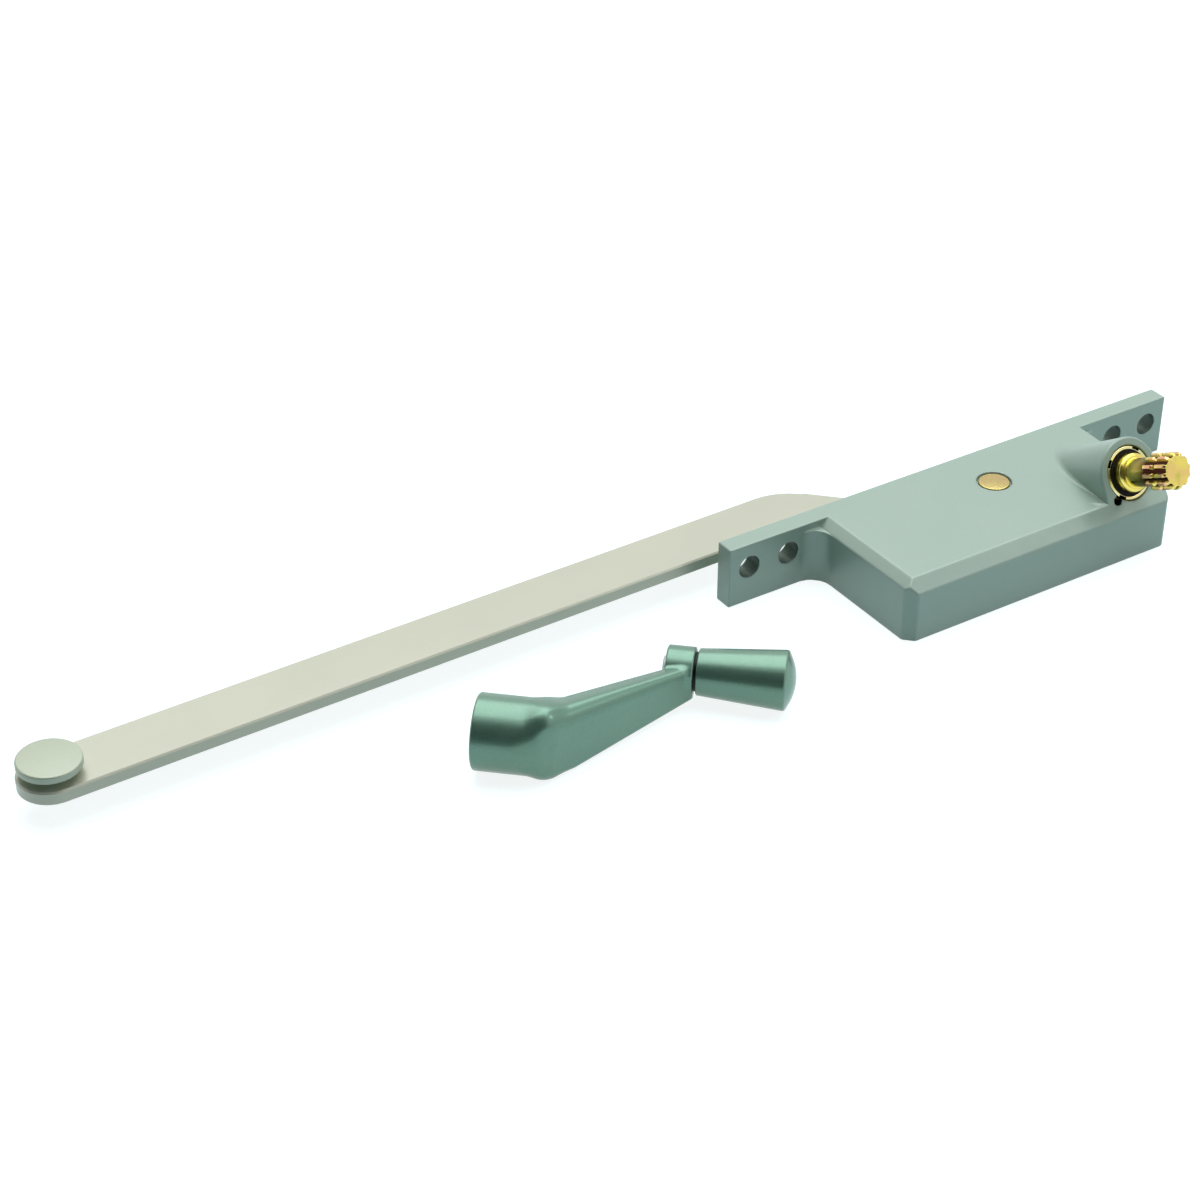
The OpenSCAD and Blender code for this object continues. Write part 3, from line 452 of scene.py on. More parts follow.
def casting_holes(x, y, z):
    """The room for the gear, the window, the rebate and the bores."""
    left, right = -BODY_LEFT, BODY_RIGHT
    front, back = -BODY_D, -BACK_WALL_T
    from_pivot = np.hypot(x - PIVOT[0], y - PIVOT[1])
    deep = np.maximum(front + WALL_T - y, y - back)
    round_room = np.maximum(from_pivot - ROOM_R, np.maximum(left - x, x - right))
    side_room = np.maximum(left + WALL_T - x, x - PIVOT[0])
    room = np.maximum(np.minimum(round_room, side_room), np.maximum(deep, z - ROOF_Z))
    for at in PLATE_SCREWS:
        room = np.maximum(room, POST_R - np.hypot(x - at[0], y - at[1]))
    room = np.maximum(room, -np.maximum(from_pivot - SEAT_R, SEAT_Z - z))
    reach = math.sqrt(ROOM_R ** 2 - (PIVOT[1] + BACK_WALL_T) ** 2)
    window = np.maximum(left + WINDOW_WALL - x, x - PIVOT[0] - reach)
    window = np.maximum(window, np.maximum(WINDOW_Z[0] - z, z - WINDOW_Z[1]))
    window = np.maximum(window, back - LAP - y)
    rim = PLATE_RIM + PLATE_CORNER_R
    middle = (left + right - SIDE_DRAFT) / 2
    half = (right - SIDE_DRAFT - left) / 2
    across = np.maximum(np.abs(x - middle) - half + rim, 0)
    along = np.maximum(np.abs(y + BODY_D / 2) - BODY_D / 2 + rim, 0)
    rebate = np.maximum(np.hypot(across, along) - PLATE_CORNER_R, z - PLATE_Z)
    inner = np.minimum(np.minimum(room, window), rebate)
    for at in PLATE_SCREWS:
        pilot = np.hypot(x - at[0], y - at[1]) - PILOT_R
        inner = np.minimum(inner, np.maximum(pilot, z - BASE_Z - PILOT_L))
    across, up, along = crank_axes(x, y, z)
    tail = np.hypot(across, up) - TAIL_BORE_R
    return np.minimum(inner, np.maximum(tail, -TAIL_BORE_L - along))


def casting_distance(x, y, z):
    """The whole casting."""
    across, up, along = crank_axes(x, y, z)
    wall = BOSS_R - (MOUTH_S - along) * math.tan(BOSS_DRAFT)
    side = (np.hypot(across, np.maximum(up, 0)) - wall) * math.cos(BOSS_DRAFT)
    boss = overlap(side, along - MOUTH_S, BOSS_EDGE)
    boss = np.maximum(boss, np.maximum(ROOF_Z - z, BOSS_FROM - along))
    fillet = np.clip(BOSS_FILLET_GROWTH * (MOUTH_S - BOSS_FILLET_GAP - along), 0, BOSS_FILLET)
    outside = union(casting_block(x, y, z), boss, fillet)
    form = outside
    for spacing in (OUTER_SCREWS, INNER_SCREWS):
        form = overlap(form, SCREW_HOLE_R - np.hypot(np.abs(x) - spacing / 2, z), RIM)
    from_pivot = np.hypot(x - PIVOT[0], y - PIVOT[1])
    recess = np.maximum(from_pivot - PIN_RECESS_R, TOP_Z - PIN_HEAD_T - z)
    form = overlap(form, -recess, RIM)
    form = np.maximum(form, PIN_BORE_R - from_pivot)
    bore = np.maximum(np.hypot(across, up) - BORE_R, BOSS_FROM - along)
    bore = np.maximum(bore, np.where(along < SHELL_TO, outside + SHELL_T, -SHELL_T))
    form = overlap(form, -bore, RIM)
    stake = np.hypot(across - STAKE_AT[0], up - STAKE_AT[1]) - STAKE_R
    form = np.maximum(form, -np.maximum(stake, MOUTH_S - STAKE_DEPTH - along))
    return np.maximum(form, -casting_holes(x, y, z))


# The retaining collar: its bore and outside radius, its top and its notches
COLLAR_R = (5.45, 6.28)
COLLAR_TOP = MOUTH_S - 0.25
COLLAR_T = 2.0
COLLAR_EDGE = 0.2
NOTCH_EDGE = 0.08
NOTCH_W = 1.9
NOTCH_FROM_R = 5.72
NOTCH_DEPTH = 1.0
NOTCH_TURN = math.radians(55)


def in_notch(across, up, along, room=0.0):
    """Distance to the nearest of the collar's four notches."""
    from_axis = np.hypot(across, up)
    turned = np.arctan2(up, across) - NOTCH_TURN
    turned = (turned + TAU / 8) % (TAU / 4) - TAU / 8
    aside = np.abs(from_axis * np.sin(turned)) - NOTCH_W / 2 - room
    inward = NOTCH_FROM_R - room - from_axis
    below = COLLAR_TOP - NOTCH_DEPTH - room - along
    return np.maximum(np.maximum(aside, inward), below)


def collar_distance(across, up, along):
    """The notched retaining collar, in the crank's frame."""
    from_axis = np.hypot(across, up)
    ring = np.maximum(from_axis - COLLAR_R[1], COLLAR_R[0] - from_axis)
    ring = overlap(ring, np.abs(along - COLLAR_TOP + COLLAR_T / 2) - COLLAR_T / 2, COLLAR_EDGE)
    return overlap(ring, -in_notch(across, up, along), NOTCH_EDGE)


def tooth_share(angle):
    """1 on the crest of a spline tooth, 0 in its gap, with short slopes between them."""
    place_in = np.abs((angle * SPLINE_TEETH / TAU + 0.5) % 1 - 0.5)
    share = (SPLINE_ROOT_HALF - place_in) / (SPLINE_ROOT_HALF - SPLINE_TIP_HALF)
    share = np.clip(share, 0, 1)
    return share * share * (3 - 2 * share)


# The handle

# Height of the lever's top, and of the slope behind it, at the socket and at the hub
LEVER_HIGH = (16.3, 10.3)
LEVER_BACK = (14.5, 8.85)
LEVER_BACK_TILT = math.radians(34)
# Roundings of the lever's front edge and back edge, of its crown, and of its foot in front
LEVER_EDGE = (4.0, 2.25)
LEVER_BACK_EDGE = 1.0
LEVER_CROWN = 2.0
LEVER_FOOT = (2.8, 1.2)
# The foot's rounding reaches its second value this many times sooner than the lever's end, and
# turns into the edge's rounding from this height on, over this height
FOOT_RATE = 6
BROW_FROM = 4.0
BROW_H = 6.0
# Place and rounding of the lever's start and of the socket tube's end, inside the elbow
LEVER_START = (-1.9, 3.4)
TUBE_END = (16.8, 3.2)
# Hollows along the creases at the elbow and at the hub, and roundings of the round faces' edges
ELBOW_HOLLOW = 2.8
HUB_HOLLOW = 1.0
HANDLE_EDGE = 0.5
# The socket's room round the spline, its entry, and the bore of its set screw
SPLINE_ROOM = 0.15
ENTRY_R = 4.6
ENTRY_L = 3.0
SET_SCREW_X = 6.0
SET_SCREW_R = 2.03


def handle_distance(x, y, z):
    """The handle's socket, lever and hub, in the handle's own frame."""
    run = math.dist(LEVER_FROM, LEVER_TO)
    way = [(b - a) / run for a, b in zip(LEVER_FROM, LEVER_TO)]
    along = (x - LEVER_FROM[0]) * way[0] + (y - LEVER_FROM[1]) * way[1]
    side = (x - LEVER_FROM[0]) * way[1] - (y - LEVER_FROM[1]) * way[0]
    t = np.clip(along / run, 0, 1)
    edge = blend(LEVER_EDGE, t)
    slope = z * math.cos(LEVER_BACK_TILT) - side * math.sin(LEVER_BACK_TILT) - blend(LEVER_BACK, t)
    crown = overlap(z - blend(LEVER_HIGH, t), slope, LEVER_CROWN)
    lever = np.maximum(crown, blend(LEVER_LOW, t) - z)
    lever = overlap(-side - blend(LEVER_HALF, t), lever, LEVER_BACK_EDGE)
    lever = overlap(lever, LEVER_START[0] - along, LEVER_START[1])
    lever = overlap(lever, along - run - LEVER_HALF[1], LEVER_EDGE[1])
    tube = overlap(np.hypot(y, z - SOCKET_R) - SOCKET_R, -x, HANDLE_EDGE)
    tube = overlap(tube, x - TUBE_END[0], TUBE_END[1])
    front = side - blend(LEVER_HALF, t)
    foot = blend(LEVER_FOOT, np.clip(FOOT_RATE * t, 0, 1))
    brow = foot + (edge - foot) * np.clip((z - BROW_FROM) / BROW_H, 0, 1)
    form = overlap(union(tube, lever, ELBOW_HOLLOW), front, brow)
    from_hub = np.hypot(y - KNOB_AT[1], z - KNOB_AT[2])
    hub = overlap(from_hub - HUB_R, np.maximum(x - HUB_X[1], HUB_X[0] - x), HANDLE_EDGE)
    form = np.maximum(union(form, hub, HUB_HOLLOW), np.maximum(x - HUB_X[1], -z))
    angle = np.arctan2(z - SOCKET_R, y)
    grooved = blend((SPLINE_ROOT_R, SPLINE_TIP_R), tooth_share(angle)) + SPLINE_ROOM
    from_axis = np.hypot(y, z - SOCKET_R)
    form = np.maximum(form, -np.maximum(from_axis - grooved, x - SOCKET_DEPTH))
    form = overlap(form, -np.maximum(from_axis - ENTRY_R, x - ENTRY_L), RIM)
    form = np.maximum(form, AXLE_BORE_R - from_hub)
    screw = np.maximum(np.hypot(x - SET_SCREW_X, z - SOCKET_R) - SET_SCREW_R, -y)
    return np.maximum(form, -screw)


# The crank shaft, as rings of points whose radius follows the thread and the spline


def worm_radius(along, angle):
    """Radius of the worm's thread, true to the CAD's phase."""
    u = (along + WORM_LEAD * (math.pi - angle) / TAU + WORM_LEAD / 2) % WORM_LEAD - WORM_LEAD / 2
    thread = WORM_TIP_R - (np.abs(u) - WORM_CREST) / FLANK_SLOPE
    thread = np.clip(thread, WORM_ROOT_R, WORM_TIP_R)
    return np.minimum(thread, WORM_ROOT_R + max(along - WORM_FROM, 0))


# Places along the crank of the shaft's ends, journal and spline bands
SHAFT_FROM = -10.3
JOURNAL_TO = MOUTH_S + 2.3
SPLINE_FROM = JOURNAL_TO + 6.6
BAND_TO = SPLINE_FROM + 3.1
SECOND_FROM = BAND_TO + 1.0
SPLINE_TO = SPLINE_FROM + 7.7
# The shaft's thin end, the taper that ends the journal, and the root of the spline's gaps
SHAFT_END_R = 2.3
JOURNAL_TAPER = (0.5, 0.55)
GAP_R = NECK_R + 0.1
# Rounding at both ends of a band of teeth, and the taper that the last band ends in
BAND_ROUND = 0.45
NOSE = 0.45
NOSE_L = 0.9
# Where rings lie on a band's rounding, and the steps along its straight length and the worm
ROUND_SPOTS = (0, 0.04, 0.12, 0.24, 0.38, BAND_ROUND)
BAND_STEPS = 6
WORM_STEPS = 104


def band_rings(start, stop, nose):
    """Places along one band of teeth, each with the radius of the teeth's crests there."""
    length = stop - start
    straight = length - 2 * BAND_ROUND
    spots = list(ROUND_SPOTS)
    spots += [BAND_ROUND + straight * k / BAND_STEPS for k in range(1, BAND_STEPS)]
    spots += [length - s for s in reversed(ROUND_SPOTS)]
    for s in spots:
        d = BAND_ROUND - min(s, length - s, BAND_ROUND)
        tip = SPLINE_TIP_R - (BAND_ROUND - math.sqrt(BAND_ROUND * BAND_ROUND - d * d))
        yield start + s, tip - nose * max(0, 1 - (length - s) / NOSE_L)


def shaft_rings(steps=288):
    """Rings along the crank shaft, from its tail to its splined end."""
    angle = np.arange(steps) * TAU / steps
    rings = [[(0, 0, SHAFT_FROM)]]

    def ring(along, radius):
        r = np.broadcast_to(radius, angle.shape)
        rings.append([(a, b, along) for a, b in zip(r * np.cos(angle), r * np.sin(angle))])

    def turned(points):
        for r, z in rounded(points):
            ring(z, r)

    def band(start, stop, nose=0.0):
        for along, tip in band_rings(start, stop, nose):
            ring(along, np.maximum(GAP_R + (tip - GAP_R) * tooth_share(angle), NECK_R))

    turned([(1.0, SHAFT_FROM), (SHAFT_END_R, SHAFT_FROM, 0.4), (SHAFT_END_R, WORM_FROM, 0.1),
            (WORM_ROOT_R, WORM_FROM)])
    for k in range(1, WORM_STEPS):
        along = WORM_FROM + (WORM_TO - WORM_FROM) * k / WORM_STEPS
        ring(along, worm_radius(along, angle))
    turned([(WORM_ROOT_R, WORM_TO + 0.1), (WORM_ROOT_R, THRUST[0], 0.2),
            (THRUST_R, THRUST[0], 0.2), (THRUST_R, THRUST[1], 0.2), (JOURNAL_R, THRUST[1], 0.1),
            (JOURNAL_R, JOURNAL_TO - JOURNAL_TAPER[1], 0.5),
            (JOURNAL_R - JOURNAL_TAPER[0], JOURNAL_TO, 0.35), (NECK_R, JOURNAL_TO, 0.25),
            (NECK_R, SPLINE_FROM - 0.05)])
    band(SPLINE_FROM, BAND_TO)
    ring((BAND_TO + SECOND_FROM) / 2, NECK_R)
    band(SECOND_FROM, SPLINE_TO, NOSE)
    ring(SPLINE_TO, 0.9 * GAP_R)
    rings.append([(0, 0, SPLINE_TO)])
    return rings


# Materials


class Tree:
    """A small helper for writing node trees."""

    def __init__(self, name):
        self.material = bpy.data.materials.new(name)
        self.material.use_nodes = True
        self.nodes = self.material.node_tree.nodes
        self.links = self.material.node_tree.links
        self.nodes.clear()
        self.shader = self.add("ShaderNodeBsdfPrincipled")
        out = self.add("ShaderNodeOutputMaterial")
        self.links.new(self.shader.outputs[0], out.inputs[0])

    def add(self, kind, inputs=(), **settings):
        node = self.nodes.new(kind)
        for key, value in settings.items():
            setattr(node, key, value)
        for key, value in dict(inputs).items():
            self.set(node.inputs[key], value)
        return node

    def set(self, socket, value):
        if isinstance(value, bpy.types.NodeSocket):
            self.links.new(value, socket)
        elif isinstance(value, (tuple, list)) and len(value) == 3 and socket.type == "RGBA":
            socket.default_value = (*value, 1)
        else:
            socket.default_value = value

    def principled(self, **values):
        for key, value in values.items():
            self.set(self.shader.inputs[key.replace("_", " ")], value)

    def where(self):
        """Places in the object's own frame, in metres."""
        return self.add("ShaderNodeTexCoord").outputs["Object"]

    def stretched(self, scale):
        return self.add("ShaderNodeMapping", {"Vector": self.where(), "Scale": scale}).outputs[0]

    def noise(self, scale, detail=3, rough=0.55, at=None):
        where = at if at is not None else self.where()
        return self.add("ShaderNodeTexNoise", {"Vector": where, "Scale": scale, "Detail": detail,
                                               "Roughness": rough}).outputs["Fac"]

    def span(self, value, low, high, to_low, to_high):
        """A value's range drawn onto another one, and held within it."""
        return self.add("ShaderNodeMapRange", {"Value": value, "From Min": low, "From Max": high,
                                               "To Min": to_low, "To Max": to_high}).outputs[0]

    def mix(self, factor, a, b):
        """Mixes two colours. The node's sockets go by number, since several share a name."""
        node = self.add("ShaderNodeMix", data_type="RGBA")
        self.set(node.inputs[0], factor)
        self.set(node.inputs[6], a)
        self.set(node.inputs[7], b)
        return node.outputs[2]

    def math(self, operation, a, b=0.0):
        return self.add("ShaderNodeMath", {0: a, 1: b}, operation=operation).outputs[0]

    def bump(self, height, strength, distance, under=None):
        values = {"Height": height, "Strength": strength, "Distance": distance}
        if under is not None:
            values["Normal"] = under
        return self.add("ShaderNodeBump", values).outputs[0]

    def mark(self, name):
        """How far a point lies in a region that the mesh was marked with."""
        return self.add("ShaderNodeAttribute", attribute_name=name).outputs["Fac"]

    def waves(self, scale, direction, distortion, kind="BANDS"):
        """Bands or rings, slightly uneven."""
        node = self.add("ShaderNodeTexWave", {"Vector": self.where(), "Scale": scale, "Detail": 2.0,
                                              "Distortion": distortion, "Detail Scale": 3.0})
        node.wave_type = kind
        setattr(node, "bands_direction" if kind == "BANDS" else "rings_direction", direction)
        return node.outputs["Fac"]


def rgb(r, g, b):
    """A screen colour, 0 to 255, as the linear values that shaders take."""
    def linear(v):
        v /= 255
        return v / 12.92 if v <= 0.04045 else ((v + 0.055) / 1.055) ** 2.4

    return linear(r), linear(g), linear(b)


def paint_coat(t, base, warm, dark, light, grain, peel, roughness):
    """Sprayed metal paint: a slow drift of tone, fine flakes and a little orange peel."""
    flake = t.noise(6500, 2, 0.7)
    tone = t.mix(t.span(t.noise(38, 2, 0.5), 0.35, 0.65, 0, 1), base, warm)
    tone = t.mix(t.span(flake, 0.30, 0.50, grain, 0), tone, dark)
    tone = t.mix(t.span(flake, 0.55, 0.75, 0, grain), tone, light)
    rough = t.span(t.noise(420, 3), 0.3, 0.7, roughness - 0.03, roughness + 0.04)
    normal = t.bump(t.noise(1500, 2), peel, 0.00005)
    return tone, rough, normal


def casting_paint(name):
    """The casting's paint, with bare ridged walls in its screw holes in a dark tone that is partly
    painted shade, and painted shade, near black, in its stake hole.
    """
    t = Tree(name)
    shades = rgb(163, 186, 173), rgb(160, 184, 172), rgb(141, 164, 153), rgb(182, 202, 191)
    tone, rough, normal = paint_coat(t, *shades, grain=0.30, peel=0.14, roughness=0.42)
    ridges = t.waves(950, "Y", 1.5)
    bored = t.mark("bored")
    # The screw holes' walls: real machining ridges, in a dark tone that is partly painted shade in
    # the holes
    wall = t.mix(ridges, rgb(26, 44, 38), rgb(112, 142, 126))
    tone = t.mix(bored, tone, wall)
    # Painted shade: the stake hole is filled in near black
    tone = t.mix(t.mark("stake"), tone, rgb(6, 7, 7))
    normal = t.bump(t.math("MULTIPLY", ridges, bored), 0.6, 0.0001, normal)
    t.principled(Base_Color=tone, Metallic=0.15, Roughness=rough, Normal=normal,
                 Coat_Weight=0.15, Coat_Roughness=0.2)
    return t.material


def gloss_paint(name, shades, metallic, roughness, grain, peel, coat, coat_rough):
    """Paint in four shades (base, warm, dark, light), with a clear gloss over it."""
    t = Tree(name)
    tone, rough, normal = paint_coat(t, *shades, grain, peel, roughness)
    t.principled(Base_Color=tone, Metallic=metallic, Roughness=rough, Normal=normal,
                 Coat_Weight=coat, Coat_Roughness=coat_rough)
    return t.material


CASTING = casting_paint("casting_paint")
ARM_PAINT = gloss_paint(
    "arm_paint", (rgb(196, 198, 180), rgb(192, 195, 177), rgb(178, 181, 164), rgb(213, 215, 199)),
    metallic=0.25, roughness=0.36, grain=0.30, peel=0.12, coat=0.2, coat_rough=0.2)
# Painted highlight: a near-white paint on the arm's rounded edges, for the light line along them
ARM_EDGE_HIGHLIGHT = gloss_paint(
    "arm_edge_highlight_paint",
    (rgb(236, 243, 236), rgb(230, 240, 233), rgb(214, 222, 212), rgb(244, 248, 242)),
    metallic=0.0, roughness=0.22, grain=0.30, peel=0.06, coat=0.6, coat_rough=0.12)
HANDLE_PAINT = gloss_paint(
    "handle_paint", (rgb(107, 144, 125), rgb(104, 142, 125), rgb(82, 117, 101), rgb(143, 177, 160)),
    metallic=0.6, roughness=0.33, grain=0.4, peel=0.1, coat=0.3, coat_rough=0.15)
BUTTON_PAINT = gloss_paint(
    "button_paint",
    (rgb(187, 198, 176), rgb(184, 196, 176), rgb(166, 178, 158), rgb(204, 212, 194)),
    metallic=0.2, roughness=0.40, grain=0.30, peel=0.12, coat=0.15, coat_rough=0.25)


def zinc_metal(name, base, tint, olive, turned=0.0, gaps=False, notches=False):
    """Yellow zinc plating: drifting gold, rose and olive. Turned faces have rings. With gaps, the
    spline's gaps take painted shade and its crests a rose tint that is partly painted highlight;
    with notches, the collar's notches take painted shade.
    """
    t = Tree(name)
    tone = t.mix(t.span(t.noise(190, 2, 0.5), 0.40, 0.62, 0, 1), base, tint)
    tone = t.mix(t.span(t.noise(310, 2, 0.5, t.stretched((1.0, 1.0, 0.6))), 0.55, 0.72, 0, 0.7),
                 tone, olive)
    rough = t.span(t.noise(1800, 3), 0.3, 0.7, 0.17, 0.27)
    normal = t.bump(t.noise(5200, 2), 0.06, 0.00002)
    if turned:
        normal = t.bump(t.waves(turned, "Z", 0.3, "RINGS"), 0.22, 0.00003, normal)
    if gaps:
        # Painted shade: the spline's gaps darken to brown
        tone = t.mix(t.mark("gap"), tone, rgb(64, 24, 14))
        # The crests' rose tint: partly the zinc's own, partly painted highlight
        rosy = t.span(t.noise(420, 2, 0.5), 0.42, 0.56, 0.1, 0.8)
        tone = t.mix(t.math("MULTIPLY", rosy, t.mark("tip")), tone, rgb(226, 160, 142))
    if notches:
        # Painted shade: the collar's notches are filled in near black
        tone = t.mix(t.mark("notch"), tone, rgb(14, 12, 8))
    t.principled(Base_Color=tone, Metallic=1.0, Roughness=rough, Normal=normal)
    return t.material


ZINC_COLLAR = zinc_metal("yellow_zinc_collar", rgb(236, 234, 186), rgb(226, 212, 150),
                         rgb(182, 194, 122), notches=True)
ZINC = zinc_metal("yellow_zinc", rgb(234, 230, 176), rgb(222, 206, 146), rgb(176, 186, 110))
ZINC_HEAD = zinc_metal("yellow_zinc_turned", rgb(190, 174, 112), rgb(192, 166, 118),
                       rgb(168, 172, 90), turned=520)
ZINC_SHAFT = zinc_metal("yellow_zinc_shaft", rgb(230, 214, 108), rgb(226, 196, 120),
                        rgb(176, 188, 72), gaps=True)


def bare_metal(name, base, stain, roughness, stain_amount=0.3):
    """Plated or sintered metal: fine scratches, stains and uneven gloss."""
    t = Tree(name)
    tone = t.mix(t.span(t.noise(260, 4), 0.42, 0.7, 0, stain_amount), base, stain)
    rough = t.span(t.noise(1100, 4), 0.3, 0.7, roughness - 0.08, roughness + 0.1)
    normal = t.bump(t.noise(1.0, 3, 0.6, t.stretched((300.0, 6000.0, 3000.0))), 0.2, 0.00003)
    t.principled(Base_Color=tone, Metallic=1.0, Roughness=rough, Normal=normal)
    return t.material


STEEL = bare_metal("plain_steel", rgb(186, 189, 190), rgb(140, 142, 142), roughness=0.34)
BRONZE = bare_metal("bronze", rgb(182, 140, 88), rgb(110, 78, 46), roughness=0.42, stain_amount=0.6)


def dull(name, base, light, roughness, scale, strength):
    """Rubber, nylon or black oxide: a dark surface, with grain of a scale and a strength."""
    t = Tree(name)
    tone = t.mix(t.span(t.noise(scale, 4), 0.4, 0.75, 0, 1), base, light)
    rough = t.span(t.noise(scale * 0.6, 3), 0.3, 0.7, roughness - 0.08, roughness + 0.08)
    normal = t.bump(t.noise(scale * 2, 3), strength, 0.00004)
    t.principled(Base_Color=tone, Roughness=rough, Normal=normal, Specular_IOR_Level=0.2)
    return t.material


RUBBER = dull("black_rubber", rgb(4, 4, 4), rgb(12, 12, 11),
              roughness=0.65, scale=1500, strength=0.3)
NYLON = dull("black_nylon", rgb(12, 12, 13), rgb(26, 26, 28),
             roughness=0.38, scale=1900, strength=0.25)
OXIDE = dull("black_oxide", rgb(18, 18, 20), rgb(48, 48, 52),
             roughness=0.32, scale=2400, strength=0.3)


# Pieces

# Step of the castings' grids and of the collar's, and how far a grid reaches past its form
CASTING_STEP = 0.3
COLLAR_STEP = 0.12
PAST = 0.1
# Top of the boss
BOSS_TOP = 18.5
# Points this near to a wall belong to it when a region is marked
BORE_NEAR = 0.03
STAKE_NEAR = 0.04
NOTCH_NEAR = 0.03
# Depths between which the stake hole is marked for its painted shade, and places between which the
# spline is
STAKE_SHADE_MARK = (0.1, STAKE_DEPTH + 0.5)
SPLINE_MARK = (SPLINE_FROM - 0.3, SPLINE_TO - 0.1)
# Radii between which the spline's gaps take on their painted shade and its crests their rose tint,
# partly painted highlight
GAP_SHADE_MARK = (3.5, 3.9)
TIP_ROSE_HIGHLIGHT_MARK = (3.8, 4.3)
# The knob's dome starts this far in from its widest radius, past a rim of this height
KNOB_RIM = (0.75, 0.3)
DOME_STEPS = 12
# The pivot pin's shank, and how far its ends lie inside the plate and the top
PIN_SHANK_R = 3.0
PIN_INSET = 0.1
# The guide button: radii of its rivet, shank, neck and disc, then its lengths along Z
RIVET_R = 3.9
SHANK_R = 2.5
BUTTON_NECK_R = 4.0
BUTTON_R = 6.9
RIVET_H = 0.8
BUTTON_NECK_L = 1.84
BUTTON_T = 1.8
# Rounding of the arm's edges
ARM_BEVEL = 0.2


def mark(mesh, name, values):
    """Marks a region of a mesh for its material."""
    layer = mesh.attributes.new(name, "FLOAT", "POINT")
    layer.data.foreach_set("value", np.asarray(values, np.float32))


def share_between(pair, value):
    """0 below a pair of values, 1 above it, and the share in between."""
    return np.clip((value - pair[0]) / (pair[1] - pair[0]), 0, 1)


def points_of(mesh):
    """The mesh's points, in millimetres."""
    flat = np.empty(len(mesh.vertices) * 3)
    mesh.vertices.foreach_get("co", flat)
    return flat.reshape(-1, 3) / MM


def add_casting():
    """Flange, body and boss."""
    low = (-FLANGE_L / 2, -BODY_D, BASE_Z)
    high = (FLANGE_L / 2, 0, BOSS_TOP)
    mesh = skin("housing_casting", casting_distance, low, high, CASTING_STEP)
    x, y, z = points_of(mesh).T
    # The screw holes' walls: marked for their ridges and their darker tone, which is partly painted
    # shade
    holes = [np.hypot(np.abs(x) - spacing / 2, z) < SCREW_HOLE_R + BORE_NEAR
             for spacing in (OUTER_SCREWS, INNER_SCREWS)]
    mark(mesh, "bored", holes[0] | holes[1])
    across, up, along = crank_axes(x, y, z)
    # The stake hole: marked for the painted shade that fills it near black
    stake = np.hypot(across - STAKE_AT[0], up - STAKE_AT[1]) < STAKE_R + STAKE_NEAR
    depth = MOUTH_S - along
    mark(mesh, "stake", stake & (depth > STAKE_SHADE_MARK[0]) & (depth < STAKE_SHADE_MARK[1]))
    add_object("housing_casting", mesh, Matrix.Identity(4), CASTING, "operator",
               ["housing"])


def add_handle():
    """Socket, lever and hub in one."""
    low = (0, -SOCKET_R, 0)
    high = (HUB_X[1], KNOB_AT[1] + HUB_R + PAST, 2 * SOCKET_R + PAST)
    mesh = skin("handle_casting", handle_distance, low, high, CASTING_STEP)
    mesh.transform(ON_HANDLE)
    add_object("handle_casting", mesh, Matrix.Identity(4), HANDLE_PAINT, "handle",
               ["crank_handle"])


def knob_profile():
    """The knob from the middle of its foot round its outside to the middle of its dome."""
    edge_r = KNOB_END_R - KNOB_RIM[0]
    sphere_r = (edge_r ** 2 + KNOB_DOME ** 2) / (2 * KNOB_DOME)
    reach = math.asin(edge_r / sphere_r)
    centre = KNOB_L + KNOB_DOME - sphere_r
    angles = [reach * k / DOME_STEPS for k in range(DOME_STEPS - 1, -1, -1)]
    dome = [(sphere_r * math.sin(a), centre + sphere_r * math.cos(a)) for a in angles]
    side = [(0, 0), (KNOB_R, 0, 0.3), (KNOB_END_R, KNOB_L - KNOB_RIM[1], 0.7), dome[0]]
    return rounded(side) + dome[1:]


def add_knob():
    """The knob, which turns on the handle's axle."""
    mesh = lathe("knob_shell", knob_profile())
    mesh.transform(ON_KNOB)
    add_object("knob_shell", mesh, Matrix.Identity(4), HANDLE_PAINT, "knob",
               ["handle_knob"])


def add_pin():
    """The pivot pin, whose head shows in the recess of the top."""
    tail = BASE_Z + PIN_INSET
    seat = TOP_Z - PIN_HEAD_T
    head = TOP_Z - PIN_INSET
    profile = rounded([(0, tail), (PIN_SHANK_R, tail, 0.4), (PIN_SHANK_R, seat),
                       (PIN_HEAD_R, seat, 0.1), (PIN_HEAD_R, head, 0.25), (0, head)])
    mesh = lathe("pivot_pin_turned", profile)
    add_object("pivot_pin_turned", mesh, AT_PIVOT, ZINC_HEAD, "operator",
               ["pivot_pin"])


def add_button():
    """The guide button, riveted into the arm's end from below."""
    rivet = ARM_Z - RIVET_H
    low = ARM_TOP + BUTTON_NECK_L
    high = low + BUTTON_T
    profile = rounded([(0, rivet), (RIVET_R, rivet, 0.5), (RIVET_R, ARM_Z), (SHANK_R, ARM_Z),
                       (SHANK_R, ARM_TOP), (BUTTON_NECK_R, ARM_TOP), (BUTTON_NECK_R, low, 0.3),
                       (BUTTON_R, low, 0.35), (BUTTON_R, high, 0.45), (0, high)])
    mesh = lathe("button_turned", profile, 160)
    add_object("button_turned", mesh, ON_BUTTON, BUTTON_PAINT, "arm",
               ["guide_button"])


